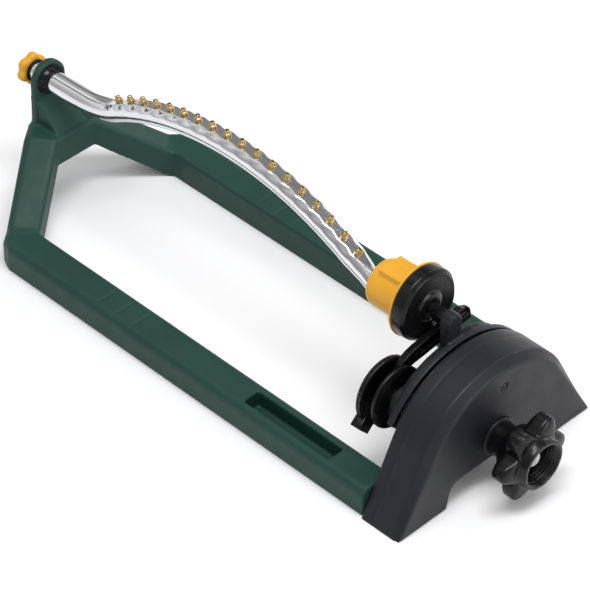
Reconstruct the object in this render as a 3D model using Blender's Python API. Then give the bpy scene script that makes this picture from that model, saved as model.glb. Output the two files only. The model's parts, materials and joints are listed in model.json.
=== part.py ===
"""Oscillating lawn sprinkler: an arched spray tube rocked by a water-driven crank.

The long axis is X and the hose end is at +X. The sprinkler stands on Z = 0, and
the origin is the bottom centre of its bounding box. Everything is in metres.

The spray tube rocks about the swing axis, which climbs slightly from the rear ring
to the drive disc. Pieces of the drive are modelled in the drive frame: its origin is
the centre of the drive disc's rear rim, its X runs along the swing axis to the front.
"""
import math

import bmesh
import bpy
from mathutils import Matrix, Vector

# Clearances
GAP = 0.0003
RUNNING_GAP = 0.0001
CUT_OVERRUN = 0.004

# Swing axis and drive frame
FRONT_X = 0.1818
DRIVE_ORIGIN = Vector((FRONT_X - 0.064, 0.0, 0.0924))
AXIS_TILT = math.radians(2.24)
DRIVE = Matrix.Translation(DRIVE_ORIGIN) @ Matrix.Rotation(-AXIS_TILT, 4, "Y")

# Frame: two bars and a raised nose that carries the rear ring
BAR_INNER_Y = 0.056
BAR_OUTER_Y = 0.079
BAR_HEIGHT = 0.019
BAR_EDGE_OUTER = 0.005
BAR_EDGE_INNER = 0.0022
BAR_FRONT_X = FRONT_X - 0.0295
CORNER_X = FRONT_X - 0.326
TONGUE_FRONT_X = FRONT_X - 0.009
TONGUE_OUTER_Y = 0.066
TONGUE_HEIGHT = 0.013
NOSE_INNER_X = FRONT_X - 0.356
NOSE_REAR_X = FRONT_X - 0.3862
NOSE_HALF_WIDTH = 0.015
NOSE_BOTTOM_Z = 0.0325
NOSE_TOP_Z = 0.052
RING_RADIUS = 0.0125
RING_BORE_RADIUS = 0.0089
RING_FRONT = -0.3138
RING_REAR = -0.3185
GROOVE_XS = (FRONT_X - 0.255, FRONT_X - 0.240, FRONT_X - 0.225)
GROOVE_WIDTH = 0.0022
GROOVE_DEPTH = 0.0008
POCKET_X = (FRONT_X - 0.131, FRONT_X - 0.062)
POCKET_Y = (-0.0735, -0.0615)
POCKET_DEPTH = 0.011

# Front cover: an arch over the front ends of the bars
COVER_RADIUS = 0.0645
COVER_CENTRE_Z = 0.017
COVER_HALF_WIDTH = 0.081
COVER_FOOT_CHAMFER = 0.0012
COVER_DEPTH = 0.029
COVER_WALL = 0.0025
COVER_CHAMFER = 0.0055
COVER_NOTCH_HALF_WIDTH = 0.039
COVER_NOTCH_HEIGHT = 0.0165
SCREW_PLACE = (0.003, 0.065)

# Gear housing behind the cover
HOUSING_RADIUS = 0.0575
HOUSING_RIM_RADIUS = 0.0638
HOUSING_RIM_DEPTH = 0.0050
HOUSING_WALL = 0.0022
HOUSING_BOTTOM_Z = 0.0205
HOUSING_FRONT_X = FRONT_X - 0.0315
HOUSING_REAR_X = FRONT_X - 0.0425
BULGE_CENTRE = (0.017, 0.034)
BULGE_RADIUS = 0.0358
BULGE_REAR_X = FRONT_X - 0.0478
TOWER_RADIUS = 0.0050
TOWER_FRONT_X = HOUSING_REAR_X + 0.0075
TOWER_WALL = 0.0020
CRANK_BOSS_RADIUS = 0.0095

# Hose inlet
INLET_Z = 0.030
SPIGOT_RADIUS = 0.0105
SPIGOT_BORE = 0.0075
SPIGOT_REAR_X = FRONT_X - 0.0095
SPIGOT_FRONT_X = FRONT_X + 0.020
SPIGOT_LIP_RADIUS = 0.0122
SCREEN_RISE = 0.0065
NUT_REAR_X = FRONT_X + 0.0115
NUT_FRONT_X = FRONT_X + 0.035
NUT_BODY_RADIUS = 0.0172
NUT_LOBE_RADIUS = 0.0268
NUT_LOBES = 6
LOBE_SHARPNESS = 0.75
NUT_RIM_RADIUS = 0.016
NUT_BORE_RADIUS = 0.0135

# Spray tube: a circular arch, its centre line in the XZ plane
ARC_CENTRE_X = FRONT_X - 0.212
ARC_CENTRE_Z = -0.0846
ARC_RADIUS = 0.2026
ARC_FRONT_ANGLE = math.radians(30.5)
ARC_REAR_ANGLE = math.radians(-30.5)
TUBE_RADIUS = 0.0060
TUBE_WIDE_RADIUS = 0.0074
TUBE_FLAT_HEIGHT = 0.0058
TUBE_WALL = 0.0008
TUBE_REAR = -0.3265
TUBE_SIDES = 14

# Nozzles
NOZZLE_COUNT = 18
NOZZLE_FIRST_ANGLE = math.radians(-29.2)
NOZZLE_LAST_ANGLE = math.radians(28.6)
NOZZLE_BASE_RADIUS = 0.0025
NOZZLE_TIP_RADIUS = 0.0017
NOZZLE_HEIGHT = 0.0038

# Collar and drive disc
COLLAR_RADIUS = 0.0152
COLLAR_REAR = -0.030
COLLAR_DROP = -0.0018
FLANGE_RADIUS = 0.0234
DISC_RADIUS = 0.0228
DISC_FRONT = 0.0090
DISC_FLAT = 0.0199
HUB_RADIUS = 0.0085
HUB_FRONT = 0.0100
OUTLET_FRONT = 0.0262
OUTLET_RADIUS = 0.0036
OUTLET_BORE = 0.0024

# Linkage, in the drive frame: (across, up) from the swing axis
CRANK_CENTRE = (-0.0365, -0.0395)
CRANK_RADIUS = 0.014
CRANK_ANGLE = math.radians(290)
ROCKER_RADIUS = 0.0175
ROCKER_ANGLE = math.radians(285)
LINK_REAR = 0.0105
LINK_FRONT = 0.0150
LINK_HALF_HEIGHT = 0.0041
LINK_EYE_RADIUS = 0.0054
LINK_SLOPE = math.radians(9.2)
LINK_KNEE = 0.022
LINK_TAIL = 0.0225
LINK_DEEP_HALF = 0.0062
PIN_RADIUS = 0.0020
EYE_GAP = 0.0011
ARM_REAR = 0.0086
ARM_FRONT = 0.0098
ARM_HALF_WIDTH = 0.0034
DIAL_REAR = 0.0058
DIAL_FRONT = 0.0083
DIAL_RADIUS = 0.0216
DIAL_RIM = 0.0030
WHEEL_REAR = 0.0158
WHEEL_FRONT = 0.0180
WHEEL_RADIUS = 0.0198
AXLE_RADIUS = 0.0022

# Gear train, in the drive frame
GEAR_MODULE = 0.0005
CRANK_GEAR_TEETH = 26
IDLER_TEETH = 36
IDLER_AXLE_RADIUS = 0.0010
PINION_TEETH = 8
CRANK_GEAR_SPAN = (0.0230, 0.0254)
IDLER_SPAN = (0.0262, 0.0282)
TURBINE_SPAN = (0.0385, 0.0465)
TURBINE_RADIUS = 0.0125
TURBINE_BLADES = 10
IDLER_DIRECTION = math.radians(-10)
TURBINE_DIRECTION = math.radians(-15)

# Clean-out plug at the rear end of the tube
PLUG_KNOB = (-0.3345, -0.3278)
PLUG_LOBES = 6
PLUG_LOBE_RADIUS = 0.0108
PLUG_VALLEY_RADIUS = 0.0088

PALETTE = {
    "frame_green": ((0.012, 0.050, 0.036, 1.0), 0.45, 0.0),
    "cover_charcoal": ((0.030, 0.031, 0.036, 1.0), 0.50, 0.0),
    "drive_black": ((0.008, 0.008, 0.009, 1.0), 0.30, 0.0),
    "accent_yellow": ((0.860, 0.480, 0.055, 1.0), 0.40, 0.0),
    "tube_aluminium": ((0.800, 0.800, 0.810, 1.0), 0.18, 1.0),
    "nozzle_brass": ((0.640, 0.410, 0.130, 1.0), 0.25, 1.0),
    "gear_white": ((0.780, 0.780, 0.740, 1.0), 0.45, 0.0),
    "seal_rubber": ((0.015, 0.015, 0.015, 1.0), 0.80, 0.0),
    "screen_steel": ((0.550, 0.550, 0.560, 1.0), 0.35, 1.0),
}

# The gear train's axle positions follow from its tooth counts.
CRANK_IDLER_DISTANCE = GEAR_MODULE * (CRANK_GEAR_TEETH + PINION_TEETH) / 2 + 0.0001
IDLER_TURBINE_DISTANCE = GEAR_MODULE * (IDLER_TEETH + PINION_TEETH) / 2 + 0.0001


def polar(centre, radius, angle):
    """Point at an angle and radius round a centre, in a plane."""
    return (centre[0] + radius * math.cos(angle), centre[1] + radius * math.sin(angle))


IDLER_CENTRE = polar(CRANK_CENTRE, CRANK_IDLER_DISTANCE, IDLER_DIRECTION)
TURBINE_CENTRE = polar(IDLER_CENTRE, IDLER_TURBINE_DISTANCE, TURBINE_DIRECTION)
CRANK_PIN = polar(CRANK_CENTRE, CRANK_RADIUS, CRANK_ANGLE)
ROCKER_PIN = polar((0.0, 0.0), ROCKER_RADIUS, ROCKER_ANGLE)


# ---------------------------------------------------------------- helpers

def clear_scene():
    for obj in list(bpy.data.objects):
        bpy.data.objects.remove(obj, do_unlink=True)


def material(name):
    if name in bpy.data.materials:
        return bpy.data.materials[name]
    colour, roughness, metallic = PALETTE[name]
    mat = bpy.data.materials.new(name)
    mat.use_nodes = True
    shader = mat.node_tree.nodes["Principled BSDF"]
    shader.inputs["Base Color"].default_value = colour
    shader.inputs["Roughness"].default_value = roughness
    shader.inputs["Metallic"].default_value = metallic
    mat.diffuse_color = colour
    return mat


def finish(name, bm, slot, matrix=None, smooth_angle=35):
    """Turn a bmesh into an object with outward faces, placed by a matrix."""
    bmesh.ops.remove_doubles(bm, verts=bm.verts, dist=1e-7)
    bmesh.ops.recalc_face_normals(bm, faces=bm.faces)
    mesh = bpy.data.meshes.new(name)
    bm.to_mesh(mesh)
    bm.free()
    mesh.shade_smooth()
    mesh.set_sharp_from_angle(angle=math.radians(smooth_angle))
    obj = bpy.data.objects.new(name, mesh)
    bpy.context.scene.collection.objects.link(obj)
    if slot:
        mesh.materials.append(material(slot))
    obj.matrix_world = matrix if matrix is not None else Matrix.Identity(4)
    return obj


def cutter(name, bm, matrix=None):
    obj = finish(name, bm, None, matrix)
    obj.hide_render = True
    obj.display_type = "WIRE"
    return obj


def boolean(target, tool, operation="DIFFERENCE"):
    mod = target.modifiers.new(tool.name, "BOOLEAN")
    mod.operation = operation
    mod.solver = "EXACT"
    mod.object = tool


def skin_rings(bm, rings, close_ends=True, closed_path=False):
    """Join rings of equal point count by quads; cap the two ends or close the path."""
    loops = [[bm.verts.new(point) for point in ring] for ring in rings]
    count = len(loops[0])
    pairs = list(zip(loops, loops[1:]))
    if closed_path:
        pairs.append((loops[-1], loops[0]))
    for first, second in pairs:
        for i in range(count):
            j = (i + 1) % count
            bm.faces.new((first[i], first[j], second[j], second[i]))
    if close_ends and not closed_path:
        bm.faces.new(list(reversed(loops[0])))
        bm.faces.new(loops[-1])


def turned(profile, segments, centre=(0.0, 0.0)):
    """Turn a profile of (along X, radius) points round an X-parallel axis.

    A profile that starts and ends on the axis makes a solid. One that stays off the
    axis is taken as a closed outline and makes a ring.
    """
    bm = bmesh.new()
    solid = profile[0][1] == 0.0 and profile[-1][1] == 0.0
    points = profile[1:-1] if solid else profile
    rings = []
    for x, radius in points:
        ring = [(x, *polar(centre, radius, 2 * math.pi * i / segments)) for i in range(segments)]
        rings.append(ring)
    if solid:
        loops = [[bm.verts.new(point) for point in ring] for ring in rings]
        for first, second in zip(loops, loops[1:]):
            for i in range(segments):
                j = (i + 1) % segments
                bm.faces.new((first[i], first[j], second[j], second[i]))
        for loop, x in ((loops[0], profile[0][0]), (loops[-1], profile[-1][0])):
            pole = bm.verts.new((x, centre[0], centre[1]))
            for i in range(segments):
                bm.faces.new((loop[i], loop[(i + 1) % segments], pole))
    else:
        skin_rings(bm, rings, closed_path=True)
    return bm


def rod(x0, x1, radius, segments, centre=(0.0, 0.0)):
    return turned([(x0, 0.0), (x0, radius), (x1, radius), (x1, 0.0)], segments, centre)


def prism(outline, x0, x1):
    """Extrude a closed (Y, Z) outline along X."""
    bm = bmesh.new()
    skin_rings(bm, [[(x0, y, z) for y, z in outline], [(x1, y, z) for y, z in outline]])
    return bm


def block(x_span, y_span, z_span):
    corners = [(y_span[0], z_span[0]), (y_span[1], z_span[0]), (y_span[1], z_span[1]),
               (y_span[0], z_span[1])]
    return prism(corners, *x_span)


def arc(centre, radius, start, end, count):
    """Points along an arc, both ends included."""
    return [polar(centre, radius, start + (end - start) * i / count) for i in range(count + 1)]


# ---------------------------------------------------------------- frame

def bar_section(inner, outer, bottom, top):
    """Section of a bar between two plan points, its top edges rounded."""
    inner = Vector(inner)
    outer = Vector(outer)
    width = (outer - inner).length
    ri = BAR_EDGE_INNER
    ro = BAR_EDGE_OUTER
    across = [(0.0, bottom), (width, bottom)]
    across += arc((width - ro, top - ro), ro, 0.0, math.pi / 2, 3)
    across += arc((ri, top - ri), ri, math.pi / 2, math.pi, 2)
    return [(*(inner + (outer - inner) * (u / width)), z) for u, z in across]


def frame_stations():
    """Stations of the left half, from the front end of the bar to the nose."""
    rise = NOSE_BOTTOM_Z
    height = BAR_HEIGHT + 0.0005
    stations = [
        ((BAR_FRONT_X, -BAR_INNER_Y), (BAR_FRONT_X, -BAR_OUTER_Y), 0.0, BAR_HEIGHT),
        ((CORNER_X, -BAR_INNER_Y), (CORNER_X - 0.006, -BAR_OUTER_Y), 0.0, BAR_HEIGHT),
        ((CORNER_X - 0.002, -BAR_INNER_Y + 0.0004), (CORNER_X - 0.0145, -0.0755), 0.0, BAR_HEIGHT),
    ]
    start_in = Vector((CORNER_X - 0.0045, -0.0535))
    end_in = Vector((NOSE_INNER_X, -NOSE_HALF_WIDTH))
    start_out = Vector((CORNER_X - 0.0200, -0.0680))
    end_out = Vector((FRONT_X - 0.3745, -0.0268))
    for t in (0.0, 0.5, 1.0):
        bottom = rise * t
        top = BAR_HEIGHT + 0.001 + (NOSE_TOP_Z - BAR_HEIGHT - 0.001) * t
        stations.append((start_in.lerp(end_in, t), start_out.lerp(end_out, t), bottom, max(top, height)))
    stations.append(((NOSE_INNER_X, -0.008), (NOSE_REAR_X + 0.002, -0.0145), NOSE_BOTTOM_Z, NOSE_TOP_Z))
    return stations


def frame_body():
    left = frame_stations()
    middle = ((NOSE_INNER_X, 0.0), (NOSE_REAR_X, 0.0), NOSE_BOTTOM_Z, NOSE_TOP_Z)
    right = [((a[0], -a[1]), (b[0], -b[1]), z0, z1) for a, b, z0, z1 in reversed(left)]
    bm = bmesh.new()
    skin_rings(bm, [bar_section(*station) for station in left + [middle] + right])
    return bm


def post_body():
    """Post of the nose, its top rounded about the swing axis, in the drive frame."""
    low = NOSE_BOTTOM_Z + 0.006 - rear_axis_height()
    outline = [(-RING_RADIUS - 0.0015, low), (RING_RADIUS + 0.0015, low)]
    outline += arc((0.0, 0.0), RING_RADIUS, 0.0, math.pi, 14)
    return prism(outline, RING_REAR, RING_FRONT)


def rear_axis_height():
    return DRIVE_ORIGIN.z + RING_REAR * math.sin(AXIS_TILT)


def gusset_body():
    """Web that thickens the post towards its foot, front and rear."""
    low = NOSE_TOP_Z - 0.009
    top = rear_axis_height() - 0.0115
    rear = DRIVE_ORIGIN.x + RING_REAR
    front = DRIVE_ORIGIN.x + RING_FRONT
    side = [(NOSE_INNER_X - 0.0008, low), (NOSE_INNER_X - 0.0008, NOSE_TOP_Z - 0.0025), (front + 0.0009, top),
            (rear - 0.0007, top), (NOSE_REAR_X + 0.0016, NOSE_TOP_Z - 0.006), (NOSE_REAR_X + 0.0016, low)]
    bm = bmesh.new()
    half = RING_RADIUS - 0.0007
    skin_rings(bm, [[(x, y, z) for x, z in side] for y in (-half, half)])
    return bm


def make_frame():
    frame = finish("frame", frame_body(), "frame_green", smooth_angle=30)
    boolean(frame, cutter("cut_post", post_body(), DRIVE), "UNION")
    boolean(frame, cutter("cut_gusset", gusset_body()), "UNION")
    for side in (-1, 1):
        y_span = sorted((side * (BAR_INNER_Y + 0.0004), side * TONGUE_OUTER_Y))
        tongue = block((BAR_FRONT_X - 0.004, TONGUE_FRONT_X), y_span, (0.0011, TONGUE_HEIGHT))
        boolean(frame, cutter(f"cut_tongue_{side}", tongue), "UNION")
    bore = rod(RING_REAR - CUT_OVERRUN, RING_FRONT + CUT_OVERRUN, RING_BORE_RADIUS, 24)
    boolean(frame, cutter("cut_bore", bore, DRIVE))
    for side in (-1, 1):
        for i, x in enumerate(GROOVE_XS):
            y_span = sorted((side * (BAR_INNER_Y + 0.004), side * (BAR_OUTER_Y - 0.0045)))
            z_span = (BAR_HEIGHT - GROOVE_DEPTH, BAR_HEIGHT + CUT_OVERRUN)
            groove = block((x - GROOVE_WIDTH / 2, x + GROOVE_WIDTH / 2), y_span, z_span)
            boolean(frame, cutter(f"cut_groove_{side}_{i}", groove))
    pocket = block(POCKET_X, POCKET_Y, (BAR_HEIGHT - POCKET_DEPTH, BAR_HEIGHT + CUT_OVERRUN))
    boolean(frame, cutter("cut_pocket", pocket))


def make_rear_bush():
    """Bush that carries the tube in the rear ring, with a front flange."""
    outer = RING_BORE_RADIUS - GAP
    inner = TUBE_RADIUS + RUNNING_GAP
    flange = RING_BORE_RADIUS + 0.0011
    rear = RING_REAR - 0.0004
    front = RING_FRONT + GAP
    profile = [(rear, inner), (rear, outer), (front, outer), (front, flange), (front + 0.0012, flange - 0.0003),
               (front + 0.0012, inner)]
    finish("rear_bush", turned(profile, 24), "drive_black", DRIVE)


# ---------------------------------------------------------------- cover and housing

def arch_outline(inset, bottom, foot_inset=None):
    """Arch of the cover: a round top with straight, flared sides."""
    radius = COVER_RADIUS - inset
    foot = COVER_HALF_WIDTH - (inset * 1.13 if foot_inset is None else foot_inset)
    reach = math.hypot(foot, COVER_CENTRE_Z)
    tangent = math.acos(radius / reach) - math.atan2(COVER_CENTRE_Z, foot)
    points = arc((0.0, COVER_CENTRE_Z), radius, tangent, math.pi - tangent, 20)
    slope = (points[0][0] - foot) / points[0][1]
    low = foot + slope * bottom
    return [(low, bottom)] + points + [(-low, bottom)]


def notch_outline():
    half = COVER_NOTCH_HALF_WIDTH
    top = COVER_NOTCH_HEIGHT
    round_off = 0.007
    outline = [(-half - 0.003, -CUT_OVERRUN), (half + 0.003, -CUT_OVERRUN)]
    outline += arc((half - round_off, top - round_off), round_off, 0.0, math.pi / 2, 4)
    outline += arc((-half + round_off, top - round_off), round_off, math.pi / 2, math.pi, 4)
    return outline


def make_front_cover():
    rear = FRONT_X - COVER_DEPTH
    bm = bmesh.new()
    sections = ((rear, 0.0, 0.0), (FRONT_X - 0.0062, 0.0, 0.0),
                (FRONT_X - 0.0018, COVER_CHAMFER * 0.55, COVER_FOOT_CHAMFER * 0.3),
                (FRONT_X, COVER_CHAMFER, COVER_FOOT_CHAMFER))
    skin_rings(bm, [[(x, y, z) for y, z in arch_outline(inset, 0.0, foot)] for x, inset, foot in sections])
    cover = finish("front_cover", bm, "cover_charcoal")
    inner = prism(arch_outline(COVER_WALL, -CUT_OVERRUN), rear - CUT_OVERRUN, FRONT_X - 0.0085)
    boolean(cover, cutter("cut_cover_room", inner))
    nose = prism(arch_outline(COVER_CHAMFER + 0.002, -CUT_OVERRUN), FRONT_X - 0.0095, FRONT_X - COVER_WALL)
    boolean(cover, cutter("cut_cover_nose", nose))
    notch = prism(notch_outline(), FRONT_X - 0.012, FRONT_X + CUT_OVERRUN)
    boolean(cover, cutter("cut_cover_notch", notch))
    hole = rod(FRONT_X - 0.012, FRONT_X + CUT_OVERRUN, SPIGOT_RADIUS + GAP, 32, (0.0, INLET_Z))
    boolean(cover, cutter("cut_cover_inlet", hole))
    head = rod(FRONT_X - 0.0015, FRONT_X + CUT_OVERRUN, 0.0028, 18, SCREW_PLACE)
    boolean(cover, cutter("cut_cover_screw", head))
    shank = rod(FRONT_X - 0.010, FRONT_X + 0.001, 0.0013, 12, SCREW_PLACE)
    boolean(cover, cutter("cut_cover_shank", shank))


def make_cover_screw():
    """Screw that holds the cover, its cross-slotted head sunk in the face."""
    back = FRONT_X - 0.0015 + GAP
    front = FRONT_X - GAP
    profile = [(FRONT_X - 0.0125, 0.0), (FRONT_X - 0.0125, 0.0010), (back, 0.0010), (back, 0.0024),
               (front - 0.0003, 0.0024), (front, 0.0019), (front, 0.0)]
    screw = finish("cover_screw", turned(profile, 14, SCREW_PLACE), "screen_steel")
    for i, turn in enumerate((0.4, 0.4 + math.pi / 2)):
        slot = block((front - 0.0005, front + 0.001), (-0.0013, 0.0013), (-0.0003, 0.0003))
        place = Matrix.Translation((0.0, *SCREW_PLACE)) @ Matrix.Rotation(turn, 4, "X")
        boolean(screw, cutter(f"cut_cross_{i}", slot, place))


def crank_in_world(x):
    """World (Y, Z) of the crank's axis where it crosses a plane of constant X."""
    point = DRIVE @ Vector((x - DRIVE_ORIGIN.x, *CRANK_CENTRE))
    return (point.y, point.z)


def housing_outline(inset, bottom):
    """Rear outline of the housing: the cover's arch, cut back under the crank."""
    radius = HOUSING_RADIUS - inset
    centre = (0.0, COVER_CENTRE_Z)
    right = math.asin((bottom - COVER_CENTRE_Z) / radius)
    left = math.radians(145)
    points = arc(centre, radius, right, left, 18)
    side = 0.0395 - inset
    points += [(-side, 0.034), (-side, bottom)]
    return points


def rim_outline(inset, bottom):
    """Arch of the housing's front rim, nearly flush with the cover."""
    radius = HOUSING_RIM_RADIUS - inset
    centre = (0.0, COVER_CENTRE_Z)
    right = math.asin((bottom - COVER_CENTRE_Z) / radius)
    left = math.radians(148)
    points = arc(centre, radius, right, left, 24)
    side = 0.0440 - inset
    points += [(-side, 0.040), (-side, bottom)]
    return points


def disc_prism(centre, radius, x0, x1, segments=22):
    return rod(x0, x1, radius, segments, centre)


def tower_outline(half, low):
    centre_z = axis_height_at(HOUSING_REAR_X)
    return [(-half, low), (half, low)] + arc((0.0, centre_z), half, 0.0, math.pi, 12)


def axis_height_at(x):
    return DRIVE_ORIGIN.z + (x - DRIVE_ORIGIN.x) * math.tan(AXIS_TILT)


def make_gear_housing():
    body = prism(housing_outline(0.0, HOUSING_BOTTOM_Z), HOUSING_REAR_X, HOUSING_FRONT_X)
    housing = finish("gear_housing", body, "cover_charcoal")
    rim_x = HOUSING_FRONT_X - HOUSING_RIM_DEPTH
    rim = prism(rim_outline(0.0, HOUSING_BOTTOM_Z + 0.0003), rim_x, HOUSING_FRONT_X - 0.0002)
    boolean(housing, cutter("cut_rim", rim), "UNION")
    crank = crank_in_world(HOUSING_REAR_X)
    boss = disc_prism(crank, CRANK_BOSS_RADIUS, HOUSING_REAR_X + 0.0003, HOUSING_FRONT_X - 0.0004)
    boolean(housing, cutter("cut_boss", boss), "UNION")
    low = HOUSING_BOTTOM_Z + 0.0007
    start = math.asin((low - BULGE_CENTRE[1]) / BULGE_RADIUS)
    bulge_outline = arc(BULGE_CENTRE, BULGE_RADIUS, start, math.pi - start, 20)
    bulge = prism(bulge_outline, BULGE_REAR_X, HOUSING_REAR_X + 0.0015)
    boolean(housing, cutter("cut_bulge", bulge), "UNION")
    tower = prism(tower_outline(TOWER_RADIUS, 0.062), HOUSING_REAR_X - 0.0003, TOWER_FRONT_X)
    boolean(housing, cutter("cut_tower", tower), "UNION")
    deep = HOUSING_REAR_X + HOUSING_WALL
    open_x = HOUSING_FRONT_X + CUT_OVERRUN
    room = prism(housing_outline(HOUSING_WALL, HOUSING_BOTTOM_Z + HOUSING_WALL), deep, open_x)
    boolean(housing, cutter("cut_room", room))
    rim_room = prism(rim_outline(HOUSING_WALL, HOUSING_BOTTOM_Z + HOUSING_WALL + 0.0004), rim_x + HOUSING_WALL,
                     open_x + 0.0003)
    boolean(housing, cutter("cut_rim_room", rim_room))
    boss_room = disc_prism(crank, CRANK_BOSS_RADIUS - HOUSING_WALL, deep + 0.0002, open_x + 0.0004)
    boolean(housing, cutter("cut_boss_room", boss_room))
    bulge_room = disc_prism(BULGE_CENTRE, 0.0305, BULGE_REAR_X + HOUSING_WALL, open_x + 0.0007)
    bulge_floor = block((BULGE_REAR_X - CUT_OVERRUN, open_x + 0.002), (-0.08, 0.08), (-0.02, low + 0.0023))
    room_tool = cutter("cut_bulge_room", bulge_room)
    boolean(room_tool, cutter("cut_bulge_floor", bulge_floor))
    boolean(housing, room_tool)
    channel = prism(tower_outline(0.0030, 0.066), deep + 0.0005, TOWER_FRONT_X - TOWER_WALL)
    boolean(housing, cutter("cut_channel", channel))
    boolean(housing, cutter("cut_outlet", rod(0.010, OUTLET_FRONT + 0.0005, OUTLET_RADIUS + 0.0004, 24), DRIVE))
    axle_seat = rod(CRANK_GEAR_SPAN[0] - 0.0024, 0.0300, IDLER_AXLE_RADIUS + GAP, 16, IDLER_CENTRE)
    boolean(housing, cutter("cut_axle_seat", axle_seat, DRIVE))
    crank_hole = rod(0.010, 0.0275, 0.0036 + RUNNING_GAP, 24, CRANK_CENTRE)
    boolean(housing, cutter("cut_crank_hole", crank_hole, DRIVE))


def make_housing_plate():
    """Flat lid between the gear housing and the cover, seen as the dark step."""
    x0 = HOUSING_FRONT_X + GAP
    x1 = FRONT_X - COVER_DEPTH - GAP
    points = rim_outline(0.0014, HOUSING_BOTTOM_Z)
    plate = finish("housing_plate", prism(points, x0, x1), "drive_black")
    boss = disc_prism(crank_in_world(x0), CRANK_BOSS_RADIUS - 0.0030, x0 + 0.0002, x1 - 0.0002)
    boolean(plate, cutter("cut_plate_boss", boss), "UNION")
    hole = rod(0.028, 0.040, 0.0022, 16, TURBINE_CENTRE)
    boolean(plate, cutter("cut_plate_hole", hole, DRIVE))
    port = disc_prism((0.030, 0.048), 0.0045, x0 - CUT_OVERRUN, x1 + CUT_OVERRUN, 20)
    boolean(plate, cutter("cut_plate_port", port))


def make_turbine_chamber():
    """Cup that holds the turbine, open towards the plate, with a jet port."""
    outer = TURBINE_RADIUS + 0.0030
    inner = TURBINE_RADIUS + 0.0010
    back = 0.0362
    front = 0.0480
    profile = [(back, inner), (back, outer), (front + 0.0018, outer), (front + 0.0018, 0.0022),
               (front, 0.0022), (front, inner)]
    chamber = finish("turbine_chamber", turned(profile, 24, TURBINE_CENTRE), "gear_white", DRIVE)
    jet = rod(-0.004, 0.020, 0.0016, 12)
    place = DRIVE @ Matrix.Translation((0.0425, *TURBINE_CENTRE)) @ Matrix.Rotation(math.radians(90), 4, "Z")
    place = place @ Matrix.Translation((0.0, 0.0, -TURBINE_RADIUS + 0.002))
    boolean(chamber, cutter("cut_jet", jet, place))


# ---------------------------------------------------------------- hose inlet

def make_inlet():
    centre = (0.0, INLET_Z)
    flange = FRONT_X - COVER_WALL - GAP
    profile = [
        (SPIGOT_REAR_X, SPIGOT_BORE), (SPIGOT_REAR_X, SPIGOT_RADIUS - 0.0005),
        (flange - 0.0020, SPIGOT_RADIUS - 0.0005), (flange - 0.0020, SPIGOT_RADIUS + 0.0035),
        (flange, SPIGOT_RADIUS + 0.0035), (flange, SPIGOT_RADIUS), (FRONT_X + 0.0155, SPIGOT_RADIUS),
        (FRONT_X + 0.0165, SPIGOT_LIP_RADIUS), (SPIGOT_FRONT_X, SPIGOT_LIP_RADIUS),
        (SPIGOT_FRONT_X, SPIGOT_BORE),
    ]
    finish("inlet_spigot", turned(profile, 24, centre), "drive_black")
    washer_back = SPIGOT_FRONT_X + GAP
    washer = [(washer_back, 0.0078), (washer_back, 0.0126), (washer_back + 0.0026, 0.0126),
              (washer_back + 0.0026, 0.0078)]
    finish("hose_washer", turned(washer, 22, centre), "seal_rubber")
    screen_back = SPIGOT_FRONT_X - 0.0022
    dome = [(screen_back, 0.0), (screen_back, 0.0070), (washer_back + 0.0006, 0.0071)]
    dome += [(washer_back + 0.0006 + SCREEN_RISE * math.sin(a), 0.0071 * math.cos(a)) for a in
             (math.radians(20), math.radians(40), math.radians(60))]
    dome.append((washer_back + 0.0006 + SCREEN_RISE, 0.0))
    finish("filter_screen", turned(dome, 18, centre), "screen_steel")


def lobed_outline(lobes, valley, peak, segments, phase=0.0):
    """Knob outline whose rounded fingers stand out from a valley circle."""
    points = []
    for i in range(segments):
        angle = 2 * math.pi * i / segments
        wave = 0.5 + 0.5 * math.cos(lobes * angle)
        points.append(polar((0.0, 0.0), valley + (peak - valley) * wave ** LOBE_SHARPNESS, angle + phase))
    return points


def shift(outline, centre):
    return [(y + centre[0], z + centre[1]) for y, z in outline]


def make_hose_nut():
    centre = (0.0, INLET_Z)
    bm = bmesh.new()
    sides = 36
    phase = math.radians(-2)
    body = NUT_BODY_RADIUS
    lobe = NUT_LOBE_RADIUS
    steps = (
        (NUT_REAR_X, 0.0144, 0.0144), (NUT_REAR_X + 0.0050, 0.0151, 0.0151),
        (NUT_REAR_X + 0.0062, body - 0.0012, lobe - 0.0040), (NUT_REAR_X + 0.0085, body, lobe),
        (NUT_FRONT_X - 0.0080, body, lobe), (NUT_FRONT_X - 0.0058, body - 0.0010, lobe - 0.0040),
        (NUT_FRONT_X - 0.0050, body - 0.0012, body - 0.0006),
    )
    rings = []
    for x, valley, peak in steps:
        outline = shift(lobed_outline(NUT_LOBES, valley, peak, sides, phase), centre)
        rings.append([(x, y, z) for y, z in outline])
    for x in (NUT_FRONT_X - 0.0044, NUT_FRONT_X - 0.0006):
        rings.append([(x, *polar(centre, NUT_RIM_RADIUS, 2 * math.pi * i / sides + phase)) for i in range(sides)])
    rings.append([(NUT_FRONT_X, *polar(centre, NUT_RIM_RADIUS - 0.0007, 2 * math.pi * i / sides + phase))
                  for i in range(sides)])
    skin_rings(bm, rings)
    nut = finish("hose_nut", bm, "drive_black")
    room = rod(NUT_REAR_X + 0.0032, NUT_FRONT_X + CUT_OVERRUN, NUT_BORE_RADIUS, 28, centre)
    boolean(nut, cutter("cut_nut_room", room))
    neck = rod(NUT_REAR_X - CUT_OVERRUN, NUT_REAR_X + 0.0042, SPIGOT_RADIUS + RUNNING_GAP, 28, centre)
    boolean(nut, cutter("cut_nut_neck", neck))


# ---------------------------------------------------------------- spray tube

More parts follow.
